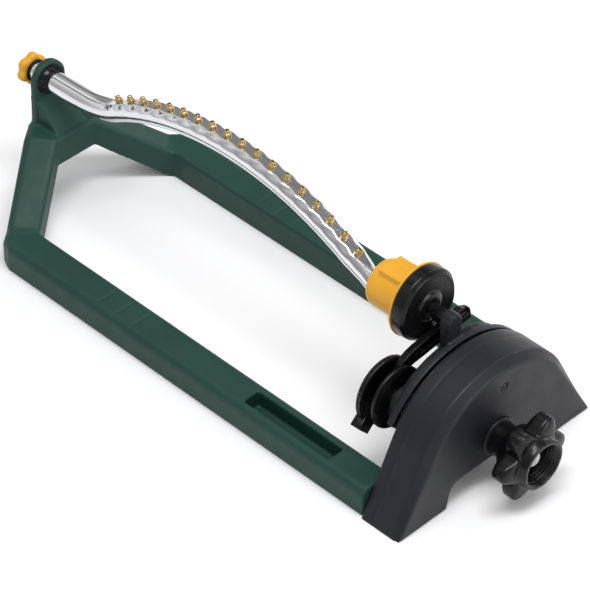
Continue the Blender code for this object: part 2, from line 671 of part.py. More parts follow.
def tube_path():
    """Centre-line stations of the spray tube: (point, tangent angle, fullness)."""
    stations = []
    rear_z = axis_height_at(DRIVE_ORIGIN.x + TUBE_REAR)
    bend_end = arc_point(ARC_REAR_ANGLE)
    straight_end = DRIVE_ORIGIN.x - 0.2835
    stations.append((Vector((DRIVE_ORIGIN.x + TUBE_REAR, 0.0, rear_z)), AXIS_TILT, 0.0))
    start = Vector((straight_end, 0.0, axis_height_at(straight_end)))
    stations.append((start, AXIS_TILT, 0.0))
    start_dir = Vector((math.cos(AXIS_TILT), 0.0, math.sin(AXIS_TILT)))
    end_dir = Vector((math.cos(ARC_REAR_ANGLE), 0.0, -math.sin(ARC_REAR_ANGLE)))
    span = (bend_end - start).length
    steps = 6
    for i in range(1, steps):
        t = i / steps
        point, tangent = hermite(start, start_dir * span, bend_end, end_dir * span, t)
        stations.append((point, math.atan2(tangent.z, tangent.x), t))
    arc_steps = 18
    for i in range(arc_steps + 1):
        angle = ARC_REAR_ANGLE + (ARC_FRONT_ANGLE - ARC_REAR_ANGLE) * i / arc_steps
        fullness = 1.0 if i < arc_steps - 1 else 0.5
        stations.append((arc_point(angle), -angle, fullness))
    last = arc_point(ARC_FRONT_ANGLE)
    direction = Vector((math.cos(ARC_FRONT_ANGLE), 0.0, -math.sin(ARC_FRONT_ANGLE)))
    stations.append((last + direction * 0.006, -ARC_FRONT_ANGLE, 0.0))
    stations.append((last + direction * 0.0235, -ARC_FRONT_ANGLE, 0.0))
    return stations


def hermite(p0, m0, p1, m1, t):
    """Cubic through two points with end tangents, and its own tangent."""
    point = (p0 * (2 * t ** 3 - 3 * t ** 2 + 1) + m0 * (t ** 3 - 2 * t ** 2 + t)
             + p1 * (-2 * t ** 3 + 3 * t ** 2) + m1 * (t ** 3 - t ** 2))
    tangent = (p0 * (6 * t ** 2 - 6 * t) + m0 * (3 * t ** 2 - 4 * t + 1)
               + p1 * (-6 * t ** 2 + 6 * t) + m1 * (3 * t ** 2 - 2 * t))
    return point, tangent


def arc_point(angle, extra=0.0):
    radius = ARC_RADIUS + extra
    return Vector((ARC_CENTRE_X + radius * math.sin(angle), 0.0, ARC_CENTRE_Z + radius * math.cos(angle)))


def tube_ring(point, pitch, fullness, thinner):
    """Section of the tube: round at the ends, flat on top where the nozzles stand."""
    radius = TUBE_RADIUS + (TUBE_WIDE_RADIUS - TUBE_RADIUS) * fullness - thinner
    flat = TUBE_RADIUS + (TUBE_FLAT_HEIGHT - TUBE_RADIUS) * fullness - thinner
    up = Vector((-math.sin(pitch), 0.0, math.cos(pitch)))
    ring = []
    for i in range(TUBE_SIDES):
        angle = 2 * math.pi * (i + 0.5) / TUBE_SIDES
        across = radius * math.sin(angle)
        rise = min(radius * math.cos(angle), flat)
        ring.append(point + up * rise + Vector((0.0, across, 0.0)))
    return ring


def make_spray_tube():
    stations = tube_path()
    bm = bmesh.new()
    outer = [tube_ring(*station, 0.0) for station in stations]
    inner = [tube_ring(*station, TUBE_WALL) for station in reversed(stations)]
    skin_rings(bm, outer + inner, closed_path=True)
    finish("spray_tube", bm, "tube_aluminium")


def nozzle_angle(index):
    return NOZZLE_FIRST_ANGLE + (NOZZLE_LAST_ANGLE - NOZZLE_FIRST_ANGLE) * index / (NOZZLE_COUNT - 1)


def make_nozzles():
    h = NOZZLE_HEIGHT
    base = NOZZLE_BASE_RADIUS
    tip = NOZZLE_TIP_RADIUS
    profile = [(0.0, 0.0), (0.0, base), (h * 0.42, base), (h * 0.62, tip), (h, tip), (h, 0.0)]
    for i in range(NOZZLE_COUNT):
        angle = nozzle_angle(i)
        seat = arc_point(angle, TUBE_FLAT_HEIGHT + GAP)
        place = Matrix.Translation(seat) @ Matrix.Rotation(-math.pi / 2 + angle, 4, "Y")
        finish(f"nozzle_{i + 1:02d}", turned(profile, 8), "nozzle_brass", place)


def make_collar():
    """Collar that joins the tube's front end to the drive disc."""
    r = COLLAR_RADIUS
    centre = (0.0, COLLAR_DROP)
    flange = turned([(-0.0016, 0.0), (-0.0016, FLANGE_RADIUS), (-GAP, FLANGE_RADIUS), (-GAP, 0.0)], 32)
    collar = finish("tube_collar", flange, "accent_yellow", DRIVE)
    profile = [(COLLAR_REAR, 0.0), (COLLAR_REAR, r - 0.0040), (COLLAR_REAR + 0.0014, r - 0.0011),
               (COLLAR_REAR + 0.0042, r), (-0.0010, r + 0.0002), (-0.0010, 0.0)]
    boolean(collar, cutter("cut_barrel", turned(profile, 26, centre), DRIVE), "UNION")
    lug = block((-0.0225, -0.0012), (-0.0088, 0.0088), (r - 0.0062, r - 0.0007))
    boolean(collar, cutter("cut_lug", lug, DRIVE), "UNION")
    last = arc_point(ARC_FRONT_ANGLE)
    place = Matrix.Translation(last) @ Matrix.Rotation(ARC_FRONT_ANGLE, 4, "Y")
    socket = rod(-0.010, 0.0242, TUBE_RADIUS + GAP, 24)
    boolean(collar, cutter("cut_socket", socket, place))
    way = rod(-0.014, CUT_OVERRUN, 0.0050, 20)
    boolean(collar, cutter("cut_collar_way", way, DRIVE))


def make_drive_disc():
    r = DISC_RADIUS
    bore = OUTLET_RADIUS + RUNNING_GAP
    profile = [(0.0, bore), (0.0, r), (DISC_FRONT - 0.0016, r - 0.0005), (DISC_FRONT, r - 0.0022),
               (DISC_FRONT, HUB_RADIUS + 0.0006), (HUB_FRONT - 0.0007, HUB_RADIUS), (HUB_FRONT, HUB_RADIUS - 0.0009),
               (HUB_FRONT, bore)]
    disc = finish("drive_disc", turned(profile, 32), "drive_black", DRIVE)
    flat = block((-CUT_OVERRUN, DISC_FRONT + CUT_OVERRUN), (DISC_FLAT, DISC_FLAT + 0.01), (-0.03, 0.03))
    boolean(disc, cutter("cut_disc_flat", flat, DRIVE))
    pin_hole = rod(0.0040, DISC_FRONT + CUT_OVERRUN, PIN_RADIUS + GAP, 16, ROCKER_PIN)
    boolean(disc, cutter("cut_pin_hole", pin_hole, DRIVE))
    front = LINK_FRONT + 0.0012
    head = front + 0.0010
    profile = [(0.0043, 0.0), (0.0043, PIN_RADIUS), (front, PIN_RADIUS), (front, PIN_RADIUS + 0.0014),
               (head, PIN_RADIUS + 0.0010), (head, 0.0)]
    finish("rocker_pin", turned(profile, 16, ROCKER_PIN), "screen_steel", DRIVE)
    seal = [(-0.0022, 0.0032), (-0.0022, 0.0047), (-GAP, 0.0047), (-GAP, 0.0032)]
    finish("swivel_seal", turned(seal, 24), "seal_rubber", DRIVE)


def make_outlet_spigot():
    """Hollow stub on which the drive disc turns; water passes through it."""
    back = 0.0
    front = OUTLET_FRONT
    tip = OUTLET_RADIUS - 0.0008
    profile = [(back, OUTLET_BORE), (back, OUTLET_RADIUS), (front - 0.0030, OUTLET_RADIUS), (front - 0.0030, tip),
               (front, tip), (front, OUTLET_BORE)]
    finish("outlet_spigot", turned(profile, 24), "drive_black", DRIVE)


# ---------------------------------------------------------------- linkage

def link_path():
    """Centre line of the link: up from the crank pin, then level past the disc."""
    start = Vector((*CRANK_PIN, 0.0))
    level = Vector((math.cos(LINK_SLOPE), math.sin(LINK_SLOPE), 0.0))
    rocker = Vector((*ROCKER_PIN, 0.0))
    knee = rocker - level * LINK_KNEE
    pull = (knee - start).length * 0.45
    points = []
    steps = 10
    for i in range(steps + 1):
        t = i / steps
        near = start + Vector((0.0, pull, 0.0))
        far = knee - level * pull
        point = (start * (1 - t) ** 3 + near * 3 * t * (1 - t) ** 2 + far * 3 * t ** 2 * (1 - t) + knee * t ** 3)
        points.append(point)
    points.append(rocker - level * 0.0060)
    points.append(rocker + level * (LINK_TAIL - 0.0060))
    points.append(rocker + level * LINK_TAIL)
    return points


def link_outline():
    """Outline of the link: an eye at the crank pin, a bent bar and a deep tail."""
    path = link_path()
    count = len(path)
    left = []
    right = []
    for i in range(1, count):
        ahead = path[min(i + 1, count - 1)] - path[i - 1]
        side = Vector((-ahead.y, ahead.x, 0.0)).normalized()
        deep = max(0.0, (i - count / 2) / (count / 2))
        lower = LINK_HALF_HEIGHT + (2 * LINK_DEEP_HALF - 2 * LINK_HALF_HEIGHT) * deep
        left.append((path[i] + side * (LINK_HALF_HEIGHT - (0.0040 if i == count - 1 else 0.0)))[0:2])
        right.append((path[i] - side * lower)[0:2])
    bend = math.asin(LINK_HALF_HEIGHT / LINK_EYE_RADIUS)
    up = math.pi / 2
    eye = arc(CRANK_PIN, LINK_EYE_RADIUS, up + bend, up + 2 * math.pi - bend, 12)
    return eye + right + list(reversed(left))


def make_link():
    link = finish("link_rod", prism(link_outline(), LINK_REAR, LINK_FRONT), "drive_black", DRIVE)
    for name, centre, gap in (("crank", CRANK_PIN, EYE_GAP), ("rocker", ROCKER_PIN, RUNNING_GAP)):
        hole = rod(LINK_REAR - CUT_OVERRUN, LINK_FRONT + CUT_OVERRUN, PIN_RADIUS + gap, 24, centre)
        boolean(link, cutter(f"cut_link_{name}", hole, DRIVE))


def make_crank():
    """Crank wheel, the eccentric pin it carries and the shaft that drives it."""
    profile = [(WHEEL_REAR, 0.0), (WHEEL_REAR, WHEEL_RADIUS - 0.0010), (WHEEL_REAR + 0.0006, WHEEL_RADIUS),
               (WHEEL_FRONT - 0.0006, WHEEL_RADIUS), (WHEEL_FRONT, WHEEL_RADIUS - 0.0010), (WHEEL_FRONT, 0.0)]
    wheel = finish("crank_wheel", turned(profile, 28, CRANK_CENTRE), "drive_black", DRIVE)
    pin_hole = rod(WHEEL_REAR - CUT_OVERRUN, WHEEL_FRONT + CUT_OVERRUN, PIN_RADIUS + GAP, 16, CRANK_PIN)
    boolean(wheel, cutter("cut_wheel_pin", pin_hole, DRIVE))
    pin_back = ARM_REAR + GAP
    pin = [(pin_back, 0.0), (pin_back, PIN_RADIUS - 0.0003), (pin_back + 0.0003, PIN_RADIUS),
           (WHEEL_FRONT, PIN_RADIUS), (WHEEL_FRONT, 0.0)]
    finish("crank_pin", turned(pin, 24, CRANK_PIN), "screen_steel", DRIVE)
    shaft = [(WHEEL_FRONT + GAP, 0.0), (WHEEL_FRONT + GAP, 0.0036), (CRANK_GEAR_SPAN[0] - GAP, 0.0036),
             (CRANK_GEAR_SPAN[0] - GAP, AXLE_RADIUS), (CRANK_GEAR_SPAN[1] + 0.0002, AXLE_RADIUS),
             (CRANK_GEAR_SPAN[1] + 0.0002, 0.0)]
    finish("crank_shaft", turned(shaft, 24, CRANK_CENTRE), "gear_white", DRIVE)


def make_crank_arm():
    """Arm from the crank pin back to the crank's axis; its stub carries the dial."""
    angle = CRANK_ANGLE
    outline = arc(CRANK_CENTRE, ARM_HALF_WIDTH, angle + math.pi / 2, angle + 3 * math.pi / 2, 10)
    outline += arc(CRANK_PIN, ARM_HALF_WIDTH, angle - math.pi / 2, angle + math.pi / 2, 10)
    arm = finish("crank_arm", prism(outline, ARM_REAR, ARM_FRONT), "drive_black", DRIVE)
    head_back = DIAL_REAR - 0.0012
    head_front = DIAL_REAR - RUNNING_GAP
    stub = [(head_back, 0.0), (head_back, AXLE_RADIUS + 0.0008), (head_front, AXLE_RADIUS + 0.0012),
            (head_front, AXLE_RADIUS), (ARM_REAR + 0.0006, AXLE_RADIUS), (ARM_REAR + 0.0006, 0.0)]
    boolean(arm, cutter("cut_stub", turned(stub, 24, CRANK_CENTRE), DRIVE), "UNION")
    hole = rod(ARM_REAR - CUT_OVERRUN / 2, ARM_FRONT + CUT_OVERRUN, PIN_RADIUS + GAP, 16, CRANK_PIN)
    boolean(arm, cutter("cut_arm_pin", hole, DRIVE))


def make_pattern_dial():
    """Rear dial that sets the stroke, with a finger tab on its rim."""
    rim = DIAL_RADIUS
    bore = AXLE_RADIUS + RUNNING_GAP
    profile = [(DIAL_REAR, bore), (DIAL_REAR, rim - 0.0006), (DIAL_REAR + 0.0005, rim),
               (DIAL_FRONT + 0.0010, rim), (DIAL_FRONT + 0.0010, rim - DIAL_RIM), (DIAL_FRONT - 0.0006, rim - DIAL_RIM),
               (DIAL_FRONT - 0.0006, 0.0048), (DIAL_FRONT, 0.0042), (DIAL_FRONT, bore)]
    dial = finish("pattern_dial", turned(profile, 32, CRANK_CENTRE), "drive_black", DRIVE)
    place = DRIVE @ Matrix.Translation((0.0, *CRANK_CENTRE)) @ Matrix.Rotation(math.radians(222), 4, "X")
    tab = block((DIAL_REAR - 0.0026, DIAL_FRONT + 0.0018), (rim - 0.0022, rim + 0.0050), (-0.0050, 0.0050))
    boolean(dial, cutter("cut_tab", tab, place), "UNION")


# ---------------------------------------------------------------- gear train

def gear_outline(centre, teeth, module, tooth_angle):
    """Outline of a spur gear whose first tooth points along tooth_angle."""
    pitch = module * teeth / 2
    tip = pitch + 0.80 * module
    root = pitch - 1.05 * module
    step = 2 * math.pi / teeth
    points = []
    for i in range(teeth):
        middle = tooth_angle + step * i
        for radius, offset in ((root, -0.31), (tip, -0.10), (tip, 0.10), (root, 0.31)):
            points.append(polar(centre, radius, middle + step * offset))
    return points


def make_gears():
    """Reduction from the turbine to the crank; each mesh is a tooth in a gap."""
    first = prism(gear_outline(CRANK_CENTRE, CRANK_GEAR_TEETH, GEAR_MODULE, IDLER_DIRECTION), *CRANK_GEAR_SPAN)
    gear = finish("crank_gear", first, "gear_white", DRIVE)
    bore = rod(CRANK_GEAR_SPAN[0] - CUT_OVERRUN, CRANK_GEAR_SPAN[1] + CUT_OVERRUN, AXLE_RADIUS + GAP, 16,
               CRANK_CENTRE)
    boolean(gear, cutter("cut_crank_gear", bore, DRIVE))
    back_to_crank = IDLER_DIRECTION + math.pi + math.pi / PINION_TEETH
    pinion = prism(gear_outline(IDLER_CENTRE, PINION_TEETH, GEAR_MODULE, back_to_crank),
                   CRANK_GEAR_SPAN[0], IDLER_SPAN[0] + 0.0001)
    idler_teeth = gear_outline(IDLER_CENTRE, IDLER_TEETH, GEAR_MODULE, TURBINE_DIRECTION)
    idler = finish("idler_gear", prism(idler_teeth, *IDLER_SPAN), "gear_white", DRIVE)
    boolean(idler, cutter("cut_idler_pinion", pinion, DRIVE), "UNION")
    idler_bore = rod(CRANK_GEAR_SPAN[0] - CUT_OVERRUN, IDLER_SPAN[1] + CUT_OVERRUN, IDLER_AXLE_RADIUS + RUNNING_GAP, 24,
                     IDLER_CENTRE)
    boolean(idler, cutter("cut_idler_bore", idler_bore, DRIVE))
    axle = rod(CRANK_GEAR_SPAN[0] - 0.0020, IDLER_SPAN[1] + 0.0008, IDLER_AXLE_RADIUS, 16, IDLER_CENTRE)
    finish("idler_axle", axle, "screen_steel", DRIVE)


def make_turbine():
    """Turbine wheel with radial vanes, and the pinion shaft that it turns."""
    hub = 0.0040
    rim = TURBINE_RADIUS
    outline = []
    step = 2 * math.pi / TURBINE_BLADES
    for i in range(TURBINE_BLADES):
        middle = step * i
        outline.append(polar(TURBINE_CENTRE, hub, middle - step * 0.30))
        outline.append(polar(TURBINE_CENTRE, rim, middle - 0.05))
        outline.append(polar(TURBINE_CENTRE, rim, middle + 0.05))
        outline.append(polar(TURBINE_CENTRE, hub, middle + step * 0.10))
    wheel = finish("turbine_wheel", prism(outline, *TURBINE_SPAN), "gear_white", DRIVE)
    bore = rod(TURBINE_SPAN[0] - CUT_OVERRUN, TURBINE_SPAN[1] + CUT_OVERRUN, 0.0015 + GAP, 14, TURBINE_CENTRE)
    boolean(wheel, cutter("cut_turbine_bore", bore, DRIVE))
    back_to_idler = TURBINE_DIRECTION + math.pi + math.pi / PINION_TEETH
    outline = gear_outline(TURBINE_CENTRE, PINION_TEETH, GEAR_MODULE, back_to_idler)
    shaft = finish("turbine_shaft", prism(outline, IDLER_SPAN[0], IDLER_SPAN[1] + 0.0004), "screen_steel", DRIVE)
    core = rod(IDLER_SPAN[0] - 0.0016, TURBINE_SPAN[1] + 0.0008, 0.0015, 14, TURBINE_CENTRE)
    boolean(shaft, cutter("cut_turbine_core", core, DRIVE), "UNION")


# ---------------------------------------------------------------- clean-out plug

def make_cleanout_plug():
    back, front = PLUG_KNOB
    sides = 36
    bm = bmesh.new()
    steps = ((back, -0.0022), (back + 0.0016, 0.0), (front - 0.0016, 0.0), (front, -0.0018))
    rings = []
    for x, grow in steps:
        outline = lobed_outline(PLUG_LOBES, PLUG_VALLEY_RADIUS + grow * 0.6, PLUG_LOBE_RADIUS + grow, sides, 0.3)
        rings.append([(x, y, z) for y, z in outline])
    skin_rings(bm, rings)
    knob = finish("cleanout_plug", bm, "accent_yellow", DRIVE)
    shank = rod(front - 0.0010, TUBE_REAR + 0.0120, TUBE_RADIUS - TUBE_WALL - GAP, 20)
    boolean(knob, cutter("cut_shank", shank, DRIVE), "UNION")
    seal_back = front + GAP
    seal = [(seal_back, 0.0054), (seal_back, 0.0074), (TUBE_REAR - GAP, 0.0074), (TUBE_REAR - GAP, 0.0054)]
    finish("plug_seal", turned(seal, 24), "seal_rubber", DRIVE)


def build():
    clear_scene()
    make_frame()
    make_rear_bush()
    make_front_cover()
    make_cover_screw()
    make_gear_housing()
    make_housing_plate()
    make_turbine_chamber()
    make_inlet()
    make_hose_nut()
    make_spray_tube()
    make_nozzles()
    make_collar()
    make_drive_disc()
    make_outlet_spigot()
    make_link()
    make_crank()
    make_crank_arm()
    make_pattern_dial()
    make_gears()
    make_turbine()
    make_cleanout_plug()


build()
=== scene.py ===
"""Oscillating lawn sprinkler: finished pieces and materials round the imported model."""
import json
import math

import bmesh
import bpy
from mathutils import Matrix, Vector


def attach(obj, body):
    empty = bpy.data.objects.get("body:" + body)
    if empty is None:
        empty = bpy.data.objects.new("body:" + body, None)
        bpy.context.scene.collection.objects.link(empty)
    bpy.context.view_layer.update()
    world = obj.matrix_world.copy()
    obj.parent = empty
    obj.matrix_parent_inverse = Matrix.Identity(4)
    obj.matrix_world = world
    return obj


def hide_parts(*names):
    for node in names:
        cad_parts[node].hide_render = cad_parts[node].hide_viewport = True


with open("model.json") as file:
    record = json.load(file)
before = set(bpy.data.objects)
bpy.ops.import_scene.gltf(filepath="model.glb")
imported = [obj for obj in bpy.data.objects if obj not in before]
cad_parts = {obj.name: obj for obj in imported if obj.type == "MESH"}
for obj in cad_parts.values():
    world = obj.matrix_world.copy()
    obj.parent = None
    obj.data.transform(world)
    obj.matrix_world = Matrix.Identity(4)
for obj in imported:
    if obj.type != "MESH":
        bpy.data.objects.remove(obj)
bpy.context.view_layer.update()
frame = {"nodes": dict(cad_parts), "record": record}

# Shared dimensions, in metres, in the model's own frame
FRONT_X = 0.1818
DRIVE_ORIGIN = Vector((FRONT_X - 0.064, 0.0, 0.0924))
AXIS_TILT = math.radians(2.24)
DRIVE = Matrix.Translation(DRIVE_ORIGIN) @ Matrix.Rotation(-AXIS_TILT, 4, "Y")
# How far a cutting tool reaches past the surface it cuts
PAST = 0.004

INLET = (0.0, 0.030)
SCREW_PLACE = (0.003, 0.065)
COVER_CENTRE_Z = 0.017
COVER_RADIUS = 0.0645
COVER_FOOT = 0.081
CRANK_CENTRE = (-0.0365, -0.0395)
CRANK_PIN_THROW = 0.014
CRANK_PIN_ANGLE = math.radians(290)
ROCKER_THROW = 0.0175
ROCKER_ANGLE = math.radians(285)
LINK_SLOPE = math.radians(9.2)
PIN_HOLE_RADIUS = 0.0022

ARC_CENTRE = Vector((FRONT_X - 0.212, 0.0, -0.0846))
ARC_RADIUS = 0.2026
ARC_END = math.radians(30.5)
TUBE_RADIUS = 0.0060
TUBE_WIDE = 0.0074
TUBE_FLAT = 0.0058
GIRTH = 0.0011
TUBE_WALL = 0.0008
TUBE_REAR_REACH = 0.3265
TUBE_BEND_REACH = 0.2835
REAR_RING_REACH = 0.3115
TUBE_SOCKET_RUN = 0.0235
NOZZLE_COUNT = 18
NOZZLE_FIRST = math.radians(-29.2)
NOZZLE_LAST = math.radians(28.6)
NOZZLE_HEIGHT = 0.0038

# Voxel sizes of the remeshed mouldings
FRAME_VOXEL = 0.0008
COVER_VOXEL = 0.0007
HOUSING_VOXEL = 0.0006
COLLAR_VOXEL = 0.0004
LINK_VOXEL = 0.00035

# Camera: where it stands, which way it faces, and its lens in millimetres
CAMERA_PLACE = (1.1023, -1.0724, 1.3422)
CAMERA_RIGHT = (0.7034, 0.7108, 0.0)
CAMERA_UP = (-0.4626, 0.4578, 0.7593)
CAMERA_BACK = (0.5397, -0.5341, 0.6508)
CAMERA_LENS = 207.5
CAMERA_SENSOR = 36.0
FLOOR_HALF = 6.0


# ---------------------------------------------------------------- mesh helpers

def polar(centre, radius, angle):
    return (centre[0] + radius * math.cos(angle), centre[1] + radius * math.sin(angle))


def arc(centre, radius, start, end, count):
    return [polar(centre, radius, start + (end - start) * i / count) for i in range(count + 1)]


def make(name, bm, matrix=None, sharp=38):
    """Turn a bmesh into an object whose mesh is in the model's frame."""
    bmesh.ops.remove_doubles(bm, verts=bm.verts, dist=1e-7)
    bmesh.ops.recalc_face_normals(bm, faces=bm.faces)
    if matrix is not None:
        bmesh.ops.transform(bm, matrix=matrix, verts=bm.verts)
    mesh = bpy.data.meshes.new(name)
    bm.to_mesh(mesh)
    bm.free()
    mesh.shade_smooth()
    mesh.set_sharp_from_angle(angle=math.radians(sharp))
    obj = bpy.data.objects.new(name, mesh)
    bpy.context.scene.collection.objects.link(obj)
    return obj


def skin(bm, rings, closed_path=False):
    """Join rings of points by faces; close the ends, or join the last ring to the first."""
    loops = [[bm.verts.new(point) for point in ring] for ring in rings]
    count = len(loops[0])
    pairs = list(zip(loops, loops[1:]))
    if closed_path:
        pairs.append((loops[-1], loops[0]))
    for first, second in pairs:
        for i in range(count):
            j = (i + 1) % count
            bm.faces.new((first[i], first[j], second[j], second[i]))
    if not closed_path:
        bm.faces.new(list(reversed(loops[0])))
        bm.faces.new(loops[-1])


def rounded(profile, radius, steps=3):
    """Round the corners of an open (along, radius) profile."""
    out = [profile[0]]
    for before, here, after in zip(profile, profile[1:], profile[2:]):
        a = Vector(before) - Vector(here)
        b = Vector(after) - Vector(here)
        cut = min(radius, a.length * 0.45, b.length * 0.45)
        if cut < 2e-5 or here[1] == 0.0:
            out.append(here)
            continue
        start = Vector(here) + a.normalized() * cut
        end = Vector(here) + b.normalized() * cut
        for i in range(steps + 1):
            t = i / steps
            point = start * (1 - t) ** 2 + Vector(here) * 2 * t * (1 - t) + end * t ** 2
            out.append(tuple(point))
    out.append(profile[-1])
    return out


def lathe(profile, segments=96, centre=(0.0, 0.0), edge=0.0):
    """Turn an (along, radius) profile round an X-parallel axis; closed if it leaves the axis."""
    solid = profile[0][1] == 0.0 and profile[-1][1] == 0.0
    if edge and solid:
        profile = rounded(profile, edge)
    elif edge:
        ring = rounded(list(profile) + [profile[0], profile[1]], edge)
        profile = ring[1:-1]
    bm = bmesh.new()
    points = profile[1:-1] if solid else profile
    rings = [[(x, *polar(centre, r, 2 * math.pi * i / segments)) for i in range(segments)]
             for x, r in points]
    if solid:
        skin(bm, rings)
    else:
        skin(bm, rings, closed_path=True)
    return bm


def rod(x0, x1, radius, segments=48, centre=(0.0, 0.0)):
    return lathe([(x0, 0.0), (x0, radius), (x1, radius), (x1, 0.0)], segments, centre)


def prism(outline, x0, x1):
    bm = bmesh.new()
    skin(bm, [[(x0, y, z) for y, z in outline], [(x1, y, z) for y, z in outline]])
    return bm


def block(x_span, y_span, z_span):
    (y0, y1), (z0, z1) = y_span, z_span
    corners = [(y0, z0), (y1, z0), (y1, z1), (y0, z1)]
    return prism(corners, *x_span)


def settle(obj):
    """Apply an object's modifiers to its mesh."""
    graph = bpy.context.evaluated_depsgraph_get()
    mesh = bpy.data.meshes.new_from_object(obj.evaluated_get(graph))
    obj.modifiers.clear()
    obj.data = mesh


def boolean(obj, tool, operation="DIFFERENCE"):
    mod = obj.modifiers.new("shape", "BOOLEAN")
    mod.operation = operation
    mod.solver = "EXACT"
    mod.object = tool
    settle(obj)
    bpy.data.objects.remove(tool, do_unlink=True)


def soften(obj, voxel, passes):
    """Give a moulded look: remesh the solid finely and relax its edges."""
    mod = obj.modifiers.new("remesh", "REMESH")
    mod.mode = "VOXEL"
    mod.voxel_size = voxel
    mod.use_smooth_shade = True
    mod = obj.modifiers.new("relax", "SMOOTH")
    mod.factor = 0.5
    mod.iterations = passes
    settle(obj)
    obj.data.shade_smooth()


def bevel(obj, width, segments=3, angle=35):
    mod = obj.modifiers.new("edge", "BEVEL")
    mod.width = width
    mod.segments = segments
    mod.limit_method = "ANGLE"
    mod.angle_limit = math.radians(angle)
    mod.harden_normals = False
    settle(obj)
    obj.data.shade_smooth()
    obj.data.set_sharp_from_angle(angle=math.radians(50))


def copy_of(node, name):
    """A free copy of a CAD node's mesh, to refine."""
    source = frame["nodes"][node]
    mesh = source.data.copy()
    mesh.name = name
    mesh.transform(source.matrix_world)
    obj = bpy.data.objects.new(name, mesh)
    bpy.context.scene.collection.objects.link(obj)
    bm = bmesh.new()
    bm.from_mesh(mesh)
    bmesh.ops.remove_doubles(bm, verts=bm.verts, dist=1e-6)
    bm.to_mesh(mesh)
    bm.free()
    return obj


def place(obj, body, slot, mat, *nodes):
    """Give a finished piece its material and body, and hide the CAD nodes it stands for; the slot
    argument is not used.
    """
    obj.data.materials.clear()
    obj.data.materials.append(mat)
    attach(obj, body)
    if nodes:
        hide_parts(*nodes)


# ---------------------------------------------------------------- materials

def node_material(name):
    mat = bpy.data.materials.new(name)
    mat.use_nodes = True
    nodes = mat.node_tree.nodes
    return mat, nodes, mat.node_tree.links, nodes["Principled BSDF"]


def noise(nodes, links, coords, scale, detail=3.0, rough=0.55):
    tex = nodes.new("ShaderNodeTexNoise")
    tex.inputs["Scale"].default_value = scale
    tex.inputs["Detail"].default_value = detail
    tex.inputs["Roughness"].default_value = rough
    links.new(coords.outputs["Object"], tex.inputs["Vector"])
    return tex


def ramp(nodes, links, source, stops):
    node = nodes.new("ShaderNodeValToRGB")
    elements = node.color_ramp.elements
    elements[0].position, elements[0].color = stops[0]
    elements[1].position, elements[1].color = stops[-1]
    for position, colour in stops[1:-1]:
        element = elements.new(position)
        element.color = colour
    links.new(source, node.inputs["Fac"])
    return node


def spread(nodes, links, source, low, high):
    node = nodes.new("ShaderNodeMapRange")
    node.inputs["From Min"].default_value = 0.3
    node.inputs["From Max"].default_value = 0.7
    node.inputs["To Min"].default_value = low
    node.inputs["To Max"].default_value = high
    links.new(source, node.inputs["Value"])
    return node


def bump(nodes, links, shader, height, strength, distance):
    node = nodes.new("ShaderNodeBump")
    node.inputs["Strength"].default_value = strength
    node.inputs["Distance"].default_value = distance
    links.new(height, node.inputs["Height"])
    links.new(node.outputs["Normal"], shader.inputs["Normal"])


def grey(value):
    return (value, value, value, 1.0)


def shade(colour, factor):
    return (colour[0] * factor, colour[1] * factor, colour[2] * factor, 1.0)


def plastic(name, colour, rough, grain=0.12, spread_by=0.06, vary=0.12, specular=0.28,
            grain_scale=1400.0):
    """Moulded plastic: a fine grain, slow colour drift and slightly uneven gloss."""
    mat, nodes, links, shader = node_material(name)
    coords = nodes.new("ShaderNodeTexCoord")
    drift = noise(nodes, links, coords, 28.0)
    tone = ramp(nodes, links, drift.outputs["Fac"],
                [(0.30, shade(colour, 1.0 - vary)), (0.70, shade(colour, 1.0 + vary))])
    links.new(tone.outputs["Color"], shader.inputs["Base Color"])
    smudge = noise(nodes, links, coords, 90.0, 4.0)
    gloss = spread(nodes, links, smudge.outputs["Fac"], rough - spread_by, rough + spread_by)
    links.new(gloss.outputs["Result"], shader.inputs["Roughness"])
    fine = noise(nodes, links, coords, grain_scale, 2.0)
    bump(nodes, links, shader, fine.outputs["Fac"], grain, 0.0002)
    shader.inputs["Specular IOR Level"].default_value = specular
    mat.diffuse_color = (*colour, 1.0)
    return mat


def metal(name, colour, rough, streak_axis, streak=0.05, scale=600.0):
    """Drawn or turned metal with faint streaks along one axis."""
    mat, nodes, links, shader = node_material(name)
    coords = nodes.new("ShaderNodeTexCoord")
    mapping = nodes.new("ShaderNodeMapping")
    mapping.inputs["Scale"].default_value = streak_axis
    links.new(coords.outputs["Object"], mapping.inputs["Vector"])
    lines = nodes.new("ShaderNodeTexNoise")
    lines.inputs["Scale"].default_value = scale
    lines.inputs["Detail"].default_value = 3.0
    links.new(mapping.outputs["Vector"], lines.inputs["Vector"])
    tone = ramp(nodes, links, lines.outputs["Fac"],
                [(0.25, shade(colour, 0.92)), (0.75, shade(colour, 1.04))])
    links.new(tone.outputs["Color"], shader.inputs["Base Color"])
    gloss = spread(nodes, links, lines.outputs["Fac"], rough * 0.8, rough * 1.3)
    links.new(gloss.outputs["Result"], shader.inputs["Roughness"])
    bump(nodes, links, shader, lines.outputs["Fac"], streak, 0.0001)
    shader.inputs["Metallic"].default_value = 1.0
    mat.diffuse_color = (*colour, 1.0)
    return mat


